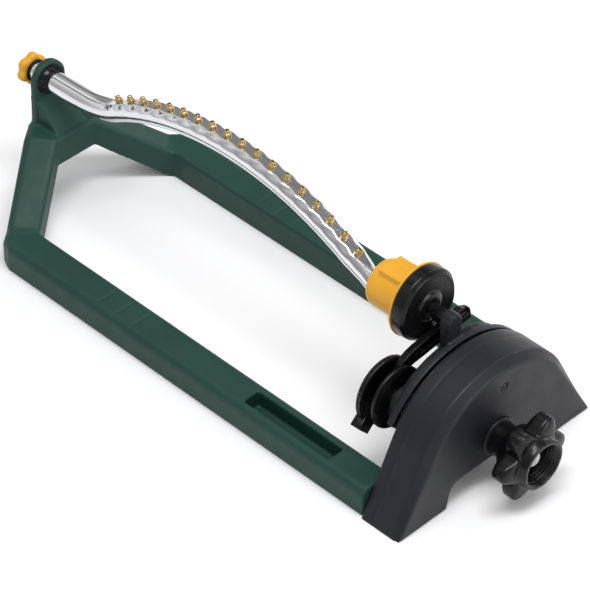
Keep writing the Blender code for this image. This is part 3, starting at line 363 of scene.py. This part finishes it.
GREEN = plastic("finish_frame_green", (0.0105, 0.0480, 0.0350), 0.50, grain=0.16, vary=0.10,
                grain_scale=1700.0)
CHARCOAL = plastic("finish_cover_charcoal", (0.0125, 0.0130, 0.0165), 0.42, grain=0.22, vary=0.08,
                   grain_scale=1900.0)
BLACK = plastic("finish_drive_black", (0.0045, 0.0045, 0.0052), 0.24, grain=0.05, vary=0.15,
                spread_by=0.05)
YELLOW = plastic("finish_accent_yellow", (0.7200, 0.3550, 0.0280), 0.34, grain=0.06, vary=0.05)
WHITE = plastic("finish_gear_white", (0.7400, 0.7400, 0.7000), 0.42, grain=0.05, vary=0.03)
RUBBER = plastic("finish_seal_rubber", (0.0140, 0.0140, 0.0150), 0.75, grain=0.15)
ALUMINIUM = metal("finish_tube_aluminium", (0.78, 0.78, 0.80), 0.13, (0.06, 1.0, 1.0),
                  streak=0.03)
BRASS = metal("finish_nozzle_brass", (0.50, 0.355, 0.165), 0.26, (1.0, 1.0, 0.2), streak=0.06,
              scale=900.0)
STEEL = metal("finish_screen_steel", (0.82, 0.82, 0.80), 0.45, (1.0, 0.3, 0.3), streak=0.05)

BY_SLOT = {
    "frame_green": GREEN, "cover_charcoal": CHARCOAL, "drive_black": BLACK, "accent_yellow": YELLOW,
    "gear_white": WHITE, "seal_rubber": RUBBER, "tube_aluminium": ALUMINIUM, "nozzle_brass": BRASS,
    "screen_steel": STEEL,
}


def dress_cad_nodes():
    """Give every carried-over CAD node the finished material of its slot; the cover screw takes the
    black finish instead, painted shade for the dark dimple it sits in.
    """
    slots = {part["node"]: part["material_slot"] for part in frame["record"]["subparts"]}
    for name, obj in frame["nodes"].items():
        for slot in obj.material_slots:
            # The cover screw is painted black rather than steel: painted shade standing for the dark
            # of its recessed dimple.
            slot.material = BLACK if name == "cover_screw" else BY_SLOT[slots[name]]


# ---------------------------------------------------------------- frame and post

def build_frame():
    shell = copy_of("frame", "frame_moulding")
    soften(shell, FRAME_VOXEL, passes=3)
    place(shell, "base", "frame_green", GREEN, "frame")


# ---------------------------------------------------------------- front cover

def arch_outline(radius, foot, bottom, count=90):
    """Arch with straight sides that run down tangent to its feet."""
    reach = math.hypot(foot, COVER_CENTRE_Z)
    tangent = math.acos(radius / reach) - math.atan2(COVER_CENTRE_Z, foot)
    points = arc((0.0, COVER_CENTRE_Z), radius, tangent, math.pi - tangent, count)
    slope = (points[0][0] - foot) / points[0][1]
    low = foot + slope * bottom
    sides = 8
    top_y, top_z = points[0]
    right = [(low + (top_y - low) * i / sides, bottom + (top_z - bottom) * i / sides)
             for i in range(sides)]
    left = [(-y, z) for y, z in reversed(right)]
    return right + points + left


def build_cover():
    """Arched shell with a groove round it, a foot opening, the inlet hole and a screw dimple."""
    bm = bmesh.new()
    rear = FRONT_X - 0.029
    radius = COVER_RADIUS
    foot = COVER_FOOT
    depth = 0.0055
    groove = FRONT_X - 0.0205
    stations = [(rear, 0.0006, 0.0002), (rear + 0.0006, 0.0, 0.0), (groove - 0.0007, 0.0, 0.0),
                (groove - 0.0004, 0.0009, 0.0003), (groove + 0.0004, 0.0009, 0.0003),
                (groove + 0.0007, 0.0, 0.0)]
    edge = rounded([(FRONT_X - 0.0100, 0.0), (FRONT_X - 0.0052, 0.0), (FRONT_X, depth - 0.0008),
                    (FRONT_X, depth + 0.004)], 0.0012)
    stations += [(x, inset, inset * 0.22) for x, inset in edge[:-1]]
    skin(bm, [[(x, y, z) for y, z in arch_outline(radius - inset, foot - side, 0.0)]
              for x, inset, side in stations])
    cover = make("front_cover_moulding", bm)
    room = prism(arch_outline(radius - 0.0025, foot - 0.0028, -PAST), rear - PAST, FRONT_X - 0.0085)
    boolean(cover, make("tool", room))
    nose = prism(arch_outline(radius - 0.0075, foot - 0.0075, -PAST), FRONT_X - 0.0095,
                 FRONT_X - 0.0025)
    boolean(cover, make("tool", nose))
    half, top, corner = 0.039, 0.0165, 0.009
    notch = [(-half - 0.003, -PAST), (half + 0.003, -PAST)]
    notch += arc((half - corner, top - corner), corner, 0.0, math.pi / 2, 12)
    notch += arc((-half + corner, top - corner), corner, math.pi / 2, math.pi, 12)
    boolean(cover, make("tool", prism(notch, FRONT_X - 0.012, FRONT_X + PAST)))
    boolean(cover, make("tool", rod(FRONT_X - 0.012, FRONT_X + PAST, 0.0108, 64, INLET)))
    dimple = lathe([(FRONT_X - 0.0015, 0.0), (FRONT_X - 0.0015, 0.0026), (FRONT_X + PAST, 0.0030),
                    (FRONT_X + PAST, 0.0)], 40, SCREW_PLACE)
    boolean(cover, make("tool", dimple))
    boolean(cover, make("tool", rod(FRONT_X - 0.010, FRONT_X + 0.001, 0.0013, 24, SCREW_PLACE)))
    soften(cover, COVER_VOXEL, passes=4)
    place(cover, "base", "cover_charcoal", CHARCOAL, "front_cover")


def build_housing():
    for node in ("gear_housing", "housing_plate"):
        part = copy_of(node, f"{node}_moulding")
        soften(part, HOUSING_VOXEL, passes=5)
        slot = "cover_charcoal" if node == "gear_housing" else "drive_black"
        place(part, "base", slot, BY_SLOT[slot], node)


# ---------------------------------------------------------------- hose nut and inlet

def lobed(lobes, valley, peak, count, sharp, phase):
    """Outline that swings between two radii, once for each lobe."""
    points = []
    for i in range(count):
        angle = 2 * math.pi * i / count
        wave = 0.5 + 0.5 * math.cos(lobes * angle)
        points.append(polar((0.0, 0.0), valley + (peak - valley) * wave ** sharp, angle + phase))
    return points


def build_nut():
    """Inlet nut: rounded fingers round a sleeve, a rim and a real internal thread."""
    back = FRONT_X + 0.0115
    front = FRONT_X + 0.035
    count = 144
    phase = math.radians(-2)
    rings = []

    def ring(x, valley, peak):
        outline = lobed(6, valley, peak, count, 0.75, phase)
        rings.append([(x, y + INLET[0], z + INLET[1]) for y, z in outline])

    ring(back, 0.0138, 0.0138)
    ring(back + 0.0005, 0.0144, 0.0144)
    ring(back + 0.0048, 0.0150, 0.0150)
    body, lobe, depth = 0.0172, 0.0268, 0.0036
    start, stop = back + 0.0055, front - 0.0052
    for i in range(9):
        turn = math.pi / 2 * i / 8
        ring(start + depth * (1 - math.cos(turn)), 0.0152 + (body - 0.0152) * math.sin(turn),
             0.0175 + (lobe - 0.0175) * math.sin(turn))
    for i in range(9):
        turn = math.pi / 2 * i / 8
        ring(stop - depth * (1 - math.sin(turn)), 0.0160 + (body - 0.0160) * math.cos(turn),
             0.0168 + (lobe - 0.0168) * math.cos(turn))
    ring(front - 0.0044, 0.0158, 0.0158)
    ring(front - 0.0007, 0.0160, 0.0160)
    ring(front - 0.0002, 0.0158, 0.0158)
    ring(front, 0.0153, 0.0153)
    bm = bmesh.new()
    skin(bm, rings)
    nut = make("hose_nut_moulding", bm, sharp=60)
    boolean(nut, make("tool", rod(back + 0.0032, front + PAST, 0.0135, 96, INLET)))
    boolean(nut, make("tool", rod(back - PAST, back + 0.0042, 0.0106, 64, INLET)))
    place(nut, "hose_nut", "drive_black", BLACK, "hose_nut")
    place(thread_ridge(back + 0.0125, front - 0.0022), "hose_nut", "drive_black", BLACK)


def thread_ridge(start, stop):
    """Raised helical thread on the inside wall of the nut."""
    bm = bmesh.new()
    pitch, wall, crest = 0.0022, 0.01352, 0.01285
    per_turn = 64
    total = int((stop - start - 0.0006) / pitch * per_turn)
    rings = []
    for i in range(total + 1):
        angle = 2 * math.pi * i / per_turn
        x = start + pitch * i / per_turn
        fade = min(1.0, i / 12, (total - i) / 12)
        top = wall - (wall - crest) * max(fade, 0.05)
        section = ((x - 0.0006, wall), (x - 0.0002, top), (x + 0.0002, top), (x + 0.0006, wall))
        rings.append([(along, *polar(INLET, radius, angle)) for along, radius in section])
    skin(bm, rings)
    return make("hose_nut_thread", bm, sharp=60)


def build_inlet():
    """Inlet stub with its flange, the bead on the cover, the washer and the screen."""
    flange = FRONT_X - 0.0028
    r = 0.0105
    profile = [(FRONT_X - 0.0095, 0.0075), (FRONT_X - 0.0095, r - 0.0005),
               (flange - 0.002, r - 0.0005), (flange - 0.002, r + 0.0035), (flange, r + 0.0035),
               (flange, r), (FRONT_X + 0.0155, r), (FRONT_X + 0.0165, 0.0122),
               (FRONT_X + 0.020, 0.0122), (FRONT_X + 0.020, 0.0075)]
    stub = make("inlet_spigot_moulding", lathe(profile, 96, INLET, edge=0.0004))
    place(stub, "base", "drive_black", BLACK, "inlet_spigot")
    bead = [(FRONT_X + 0.0001, r + 0.0001), (FRONT_X + 0.0001, r + 0.0022),
            (FRONT_X + 0.0012, r + 0.0019), (FRONT_X + 0.0020, r + 0.0001)]
    place(make("inlet_bead", lathe(bead, 96, INLET, edge=0.0004)), "base", "cover_charcoal",
          CHARCOAL)
    seat = FRONT_X + 0.0203
    washer = [(seat, 0.0078), (seat, 0.0126), (seat + 0.0026, 0.0126), (seat + 0.0026, 0.0078)]
    place(make("hose_washer_ring", lathe(washer, 80, INLET, edge=0.0006)), "base", "seal_rubber",
          RUBBER, "hose_washer")
    build_screen(seat)


def build_screen(seat):
    """Domed wire screen in the washer."""
    bm = bmesh.new()
    rim, rise, count = 0.0071, 0.0080, 18
    grid = {}
    for i in range(count + 1):
        for j in range(count + 1):
            y = rim * (2 * i / count - 1)
            z = rim * (2 * j / count - 1)
            reach = math.hypot(y, z)
            if reach <= rim:
                x = seat + 0.0006 + rise * (1 - (reach / rim) ** 4)
                grid[i, j] = bm.verts.new((x, y + INLET[0], z + INLET[1]))
    for i, j in grid:
        corners = [(i, j), (i + 1, j), (i + 1, j + 1), (i, j + 1)]
        if all(corner in grid for corner in corners):
            bm.faces.new([grid[corner] for corner in corners])
    bmesh.ops.delete(bm, geom=[v for v in bm.verts if not v.link_faces], context="VERTS")
    screen = make("filter_screen_mesh", bm)
    wire = screen.modifiers.new("wire", "WIREFRAME")
    wire.thickness = 0.00042
    wire.use_even_offset = False
    settle(screen)
    place(screen, "base", "screen_steel", STEEL, "filter_screen")
    hoop = [(seat - 0.0022, 0.0066), (seat - 0.0022, 0.0071), (seat + 0.0010, 0.0072),
            (seat + 0.0010, 0.0066)]
    place(make("filter_screen_hoop", lathe(hoop, 64, INLET)), "base", "screen_steel", STEEL)


# ---------------------------------------------------------------- spray tube and nozzles

def arc_point(angle, extra=0.0):
    radius = ARC_RADIUS + extra
    return ARC_CENTRE + Vector((radius * math.sin(angle), 0.0, radius * math.cos(angle)))


def axis_height(x):
    return DRIVE_ORIGIN.z + (x - DRIVE_ORIGIN.x) * math.tan(AXIS_TILT)


def hermite(p0, m0, p1, m1, t):
    """Point and tangent of a cubic between two points with given end tangents."""
    point = (p0 * (2 * t ** 3 - 3 * t ** 2 + 1) + m0 * (t ** 3 - 2 * t ** 2 + t)
             + p1 * (-2 * t ** 3 + 3 * t ** 2) + m1 * (t ** 3 - t ** 2))
    tangent = (p0 * (6 * t ** 2 - 6 * t) + m0 * (3 * t ** 2 - 4 * t + 1)
               + p1 * (-6 * t ** 2 + 6 * t) + m1 * (3 * t ** 2 - 2 * t))
    return point, tangent


def nozzle_angle(index):
    return NOZZLE_FIRST + (NOZZLE_LAST - NOZZLE_FIRST) * index / (NOZZLE_COUNT - 1)


def ease(t):
    t = max(0.0, min(1.0, t))
    return t * t * (3 - 2 * t)


def tube_stations():
    """(point, pitch, flatness, nearness to a nozzle, extra girth) along the tube."""
    rear_x = DRIVE_ORIGIN.x - TUBE_REAR_REACH
    bend_x = DRIVE_ORIGIN.x - TUBE_BEND_REACH
    stations = []
    ring_x = DRIVE_ORIGIN.x - REAR_RING_REACH
    steps = 24
    for i in range(steps + 1):
        x = rear_x + (bend_x - rear_x) * i / steps
        point = Vector((x, 0.0, axis_height(x)))
        stations.append((point, AXIS_TILT, 0.0, 0.0, ease((x - ring_x) / 0.004)))
    start = stations[-1][0]
    end = arc_point(-ARC_END)
    span = (end - start).length
    start_dir = Vector((math.cos(AXIS_TILT), 0.0, math.sin(AXIS_TILT)))
    end_dir = Vector((math.cos(ARC_END), 0.0, math.sin(ARC_END)))
    for i in range(1, 20):
        t = i / 20
        point, tangent = hermite(start, start_dir * span, end, end_dir * span, t)
        full = ease(t * 1.25 - 0.25)
        stations.append((point, math.atan2(tangent.z, tangent.x), full, 0.0, 1.0 - full))
    steps = 306
    pitch = (NOZZLE_LAST - NOZZLE_FIRST) / (NOZZLE_COUNT - 1)
    for i in range(steps + 1):
        angle = -ARC_END + 2 * ARC_END * i / steps
        phase = (angle - NOZZLE_FIRST) / pitch
        near = 0.5 + 0.5 * math.cos(2 * math.pi * phase)
        inside = ease((phase + 0.9) / 0.5) * ease((NOZZLE_COUNT - 0.1 - phase) / 0.5)
        full = 1.0 - 0.5 * ease((i - steps + 12) / 12)
        stations.append((arc_point(angle), -angle, full, near * inside, 0.0))
    last = arc_point(ARC_END)
    ahead = Vector((math.cos(ARC_END), 0.0, -math.sin(ARC_END)))
    for i in range(1, 9):
        run = TUBE_SOCKET_RUN * i / 8
        full = 0.5 * (1 - ease(run / 0.006))
        stations.append((last + ahead * run, -ARC_END, full, 0.0, 0.0))
    return stations


def tube_ring(point, pitch, full, near, girth, thinner, count=56):
    """Round at the ends; flat-topped with a seat that swells at each nozzle."""
    radius = TUBE_RADIUS + (TUBE_WIDE - TUBE_RADIUS) * full + GIRTH * girth - thinner
    flat = TUBE_RADIUS + (TUBE_FLAT - TUBE_RADIUS) * full + GIRTH * girth - thinner
    up = Vector((-math.sin(pitch), 0.0, math.cos(pitch)))
    waist = radius * (1.0 - 0.26 * full * (1.0 - near))
    ring = []
    for i in range(count):
        angle = 2 * math.pi * (i + 0.5) / count
        rise = radius * math.cos(angle)
        across = radius * math.sin(angle)
        if full > 0.0 and rise > 0.0:
            shoulder = ease((rise - flat * 0.45) / (flat * 0.50))
            limit = waist * math.sin(angle)
            across = across + (limit - across) * shoulder * full * 0.85
        rise = min(rise, flat)
        ring.append(point + up * rise + Vector((0.0, across, 0.0)))
    return ring


def build_tube():
    stations = tube_stations()
    bm = bmesh.new()
    outer = [tube_ring(*station, 0.0) for station in stations]
    inner = [tube_ring(point, pitch, full, 0.0, girth, TUBE_WALL)
             for point, pitch, full, near, girth in reversed(stations)]
    skin(bm, outer + inner, closed_path=True)
    tube = make("spray_tube_drawn", bm, sharp=55)
    place(tube, "spray_bar", "tube_aluminium", ALUMINIUM, "spray_tube")


def build_nozzles():
    """Turned brass jets: a flanged foot, a waist, a tip and a fine bore."""
    h = NOZZLE_HEIGHT
    for i in range(NOZZLE_COUNT):
        angle = nozzle_angle(i)
        seat = arc_point(angle, TUBE_FLAT + 0.00005)
        profile = [(0.0, 0.0), (0.0, 0.0025), (h * 0.34, 0.0025), (h * 0.46, 0.00235),
                   (h * 0.56, 0.00178), (h * 0.64, 0.00172), (h * 0.92, 0.00172),
                   (h + 0.00025, 0.00135), (h + 0.00025, 0.00062), (h * 0.55, 0.00058),
                   (h * 0.55, 0.0)]
        spot = Matrix.Translation(seat) @ Matrix.Rotation(-math.pi / 2 + angle, 4, "Y")
        jet = make(f"nozzle_{i + 1:02d}_jet", lathe(profile, 36, edge=0.00018), spot)
        place(jet, "spray_bar", "nozzle_brass", BRASS, f"nozzle_{i + 1:02d}")


# ---------------------------------------------------------------- collar and disc

def build_collar():
    """Yellow collar: a flange, a barrel with a lug and a notch, and the tube's socket."""
    r, drop = 0.0152, -0.0018
    face = [(-0.0016, 0.0), (-0.0016, 0.0234), (-0.0003, 0.0234), (-0.0003, 0.0)]
    flange = lathe(face, 128, edge=0.0004)
    collar = make("tube_collar_moulding", flange, DRIVE)
    barrel = [(-0.030, 0.0), (-0.030, r - 0.0040), (-0.0286, r - 0.0011), (-0.0258, r),
              (-0.0010, r + 0.0002), (-0.0010, 0.0)]
    boolean(collar, make("tool", lathe(barrel, 96, (0.0, drop), edge=0.0012), DRIVE), "UNION")
    lug = block((-0.0225, -0.0012), (-0.0088, 0.0088), (r - 0.0062, r - 0.0007))
    boolean(collar, make("tool", lug, DRIVE), "UNION")
    notch = block((-0.0255, -0.0165), (0.0010, 0.0125), (r - 0.0026, r + 0.004))
    boolean(collar, make("tool", notch, DRIVE @ Matrix.Rotation(0.1, 4, "Y")))
    last = arc_point(ARC_END)
    spot = Matrix.Translation(last) @ Matrix.Rotation(ARC_END, 4, "Y")
    boolean(collar, make("tool", rod(-0.010, 0.0242, TUBE_RADIUS + 0.0002, 64), spot))
    boolean(collar, make("tool", rod(-0.014, PAST, 0.0050, 48), DRIVE))
    soften(collar, COLLAR_VOXEL, passes=4)
    place(collar, "spray_bar", "accent_yellow", YELLOW, "tube_collar")


def build_disc():
    r = 0.0228
    profile = [(0.0, 0.0037), (0.0, r), (0.0066, r - 0.0002), (0.0090, r - 0.0026),
               (0.0088, r - 0.0040), (0.0086, 0.0100), (0.0091, 0.0090), (0.0097, 0.0080),
               (0.0100, 0.0064), (0.0100, 0.0037)]
    disc = make("drive_disc_moulding", lathe(profile, 128, edge=0.0007), DRIVE)
    flat = block((-PAST, 0.0090 + PAST), (0.0199, 0.03), (-0.03, 0.03))
    boolean(disc, make("tool", flat, DRIVE))
    rocker = polar((0.0, 0.0), ROCKER_THROW, ROCKER_ANGLE)
    boolean(disc, make("tool", rod(0.0040, 0.014, PIN_HOLE_RADIUS, 32, rocker), DRIVE))
    bevel(disc, 0.0005)
    place(disc, "spray_bar", "drive_black", BLACK, "drive_disc")


# ---------------------------------------------------------------- linkage

def build_link():
    """Link with a ribbed recess on each side of its pivot."""
    part = copy_of("link_rod", "link_rod_moulding")
    slope = Matrix.Rotation(LINK_SLOPE, 4, "X")
    rocker = polar((0.0, 0.0), ROCKER_THROW, ROCKER_ANGLE)
    bar = DRIVE @ Matrix.Translation((0.0, *rocker)) @ slope
    for span in ((-0.0190, -0.0042), (0.0042, 0.0208)):
        boolean(part, make("tool", block((0.0128, 0.0150 + PAST), span, (-0.0030, 0.0024)), bar))
    for along in (-0.0140, -0.0090, 0.0090, 0.0140):
        rib = block((0.0126, 0.0149), (along - 0.0005, along + 0.0005), (-0.0032, 0.0026))
        boolean(part, make("tool", rib, bar), "UNION")
    soften(part, LINK_VOXEL, passes=4)
    place(part, "link", "drive_black", BLACK, "link_rod")


def build_wheel():
    r = 0.0198
    profile = [(0.0158, 0.0), (0.0158, r - 0.0006), (0.0163, r), (0.0175, r), (0.0180, r - 0.0008),
               (0.0180, 0.0150), (0.0174, 0.0144), (0.0174, 0.0075), (0.0180, 0.0068), (0.0180, 0.0)]
    wheel = make("crank_wheel_moulding", lathe(profile, 128, CRANK_CENTRE, edge=0.0004), DRIVE)
    pin = polar(CRANK_CENTRE, CRANK_PIN_THROW, CRANK_PIN_ANGLE)
    boolean(wheel, make("tool", rod(0.0150, 0.0190, PIN_HOLE_RADIUS, 32, pin), DRIVE))
    place(wheel, "crank", "drive_black", BLACK, "crank_wheel")


def build_dial():
    """Pattern dial: a rimmed disc with a pointer tab and fine flutes round its edge."""
    rear, front, rim = 0.0058, 0.0083, 0.0216
    profile = [(rear, 0.0023), (rear, rim - 0.0006), (rear + 0.0005, rim), (front + 0.0006, rim),
               (front + 0.0010, rim - 0.0005), (front + 0.0010, rim - 0.0024),
               (front - 0.0006, rim - 0.0031),
               (front - 0.0006, 0.0048), (front, 0.0042), (front, 0.0023)]
    dial = make("pattern_dial_moulding", lathe(profile, 128, CRANK_CENTRE, edge=0.0004), DRIVE)
    hub = DRIVE @ Matrix.Translation((0.0, *CRANK_CENTRE))
    tab = block((rear - 0.0026, front + 0.0018), (rim - 0.0022, rim + 0.0050), (-0.0050, 0.0050))
    boolean(dial, make("tool", tab, hub @ Matrix.Rotation(math.radians(222), 4, "X")), "UNION")
    for turn in range(0, 360, 12):
        if 196 < turn < 248:
            continue
        flute = rod(rear - 0.001, front + 0.002, 0.0007, 12, (rim + 0.0004, 0.0))
        boolean(dial, make("tool", flute, hub @ Matrix.Rotation(math.radians(turn), 4, "X")))
    place(dial, "pattern_dial", "drive_black", BLACK, "pattern_dial")


# ---------------------------------------------------------------- rear end

def build_plug():
    """Clean-out plug: a six-lobed knob on a plain shank."""
    back, front = -0.3345, -0.3278
    sections = ((back, 0.0050, 0.0062), (back + 0.0002, 0.0072, 0.0086),
                (back + 0.0012, 0.0086, 0.0104), (back + 0.0024, 0.0089, 0.0108),
                (front - 0.0022, 0.0089, 0.0108), (front - 0.0010, 0.0086, 0.0104),
                (front - 0.0002, 0.0074, 0.0090), (front, 0.0060, 0.0068))
    rings = []
    for x, valley, peak in sections:
        rings.append([(x, y, z) for y, z in lobed(6, valley, peak, 120, 0.75, 0.3)])
    bm = bmesh.new()
    skin(bm, rings)
    knob = make("cleanout_plug_knob", bm, DRIVE, sharp=60)
    shank = rod(front - 0.0010, -0.3145, 0.0049, 48)
    boolean(knob, make("tool", shank, DRIVE), "UNION")
    place(knob, "cleanout_plug", "accent_yellow", YELLOW, "cleanout_plug")


# ---------------------------------------------------------------- studio

# Brightness of the studio along +Y: the dark bands give the bright metal its contrast
WORLD_BANDS = [
    (0.00, grey(0.30)), (0.20, grey(0.55)), (0.34, grey(0.95)), (0.385, grey(0.10)),
    (0.425, grey(0.12)), (0.47, grey(1.00)), (0.58, grey(1.00)), (0.63, grey(0.30)),
    (0.70, grey(0.62)), (0.76, grey(0.30)), (0.81, grey(0.10)), (0.88, grey(0.55)),
    (1.00, grey(0.90)),
]


def build_studio():
    """Pale floor, banded surroundings, three soft lights and the camera."""
    bm = bmesh.new()
    size = FLOOR_HALF
    corners = [(-size, -size), (size, -size), (size, size), (-size, size)]
    bm.faces.new([bm.verts.new((x, y, 0.0)) for x, y in corners])
    floor = make("studio_floor", bm)
    mat, _, _, shader = node_material("studio_floor_white")
    shader.inputs["Base Color"].default_value = (0.90, 0.90, 0.91, 1.0)
    shader.inputs["Roughness"].default_value = 0.9
    floor.data.materials.append(mat)

    world = bpy.data.worlds.new("studio_world")
    bpy.context.scene.world = world
    world.use_nodes = True
    nodes, links = world.node_tree.nodes, world.node_tree.links
    background = nodes["Background"]
    direction = nodes.new("ShaderNodeTexCoord")
    split = nodes.new("ShaderNodeSeparateXYZ")
    links.new(direction.outputs["Generated"], split.inputs["Vector"])
    remap = nodes.new("ShaderNodeMapRange")
    remap.inputs["From Min"].default_value = -1.0
    links.new(split.outputs["Y"], remap.inputs["Value"])
    bands = ramp(nodes, links, remap.outputs["Result"], WORLD_BANDS)
    links.new(bands.outputs["Color"], background.inputs["Color"])
    background.inputs["Strength"].default_value = 1.0

    def softbox(name, spot, aim, size_m, watts):
        light = bpy.data.lights.new(name, "AREA")
        light.shape = "RECTANGLE"
        light.size, light.size_y = size_m
        light.energy = watts
        obj = bpy.data.objects.new(name, light)
        bpy.context.scene.collection.objects.link(obj)
        obj.location = spot
        obj.rotation_euler = (Vector(aim) - Vector(spot)).to_track_quat("-Z", "Y").to_euler()

    softbox("key", (0.3, -0.2, 1.9), (0.0, 0.0, 0.05), (1.4, 0.5), 24.0)
    softbox("front_fill", (1.7, 0.5, 0.6), (0.1, 0.0, 0.05), (0.9, 0.6), 9.0)
    softbox("rim_strip", (0.1, 1.6, 1.1), (0.1, 0.0, 0.05), (0.15, 1.2), 5.0)

    data = bpy.data.cameras.new("photo_camera")
    data.lens = CAMERA_LENS
    data.sensor_width = CAMERA_SENSOR
    data.clip_end = 30.0
    camera = bpy.data.objects.new("photo_camera", data)
    bpy.context.scene.collection.objects.link(camera)
    turn = Matrix((CAMERA_RIGHT, CAMERA_UP, CAMERA_BACK)).transposed().to_4x4()
    camera.matrix_world = Matrix.Translation(CAMERA_PLACE) @ turn
    bpy.context.scene.camera = camera
    bpy.context.scene.view_settings.view_transform = "Standard"


dress_cad_nodes()
build_frame()
build_cover()
build_housing()
build_nut()
build_inlet()
build_tube()
build_nozzles()
build_collar()
build_disc()
build_link()
build_wheel()
build_dial()
build_plug()
build_studio()
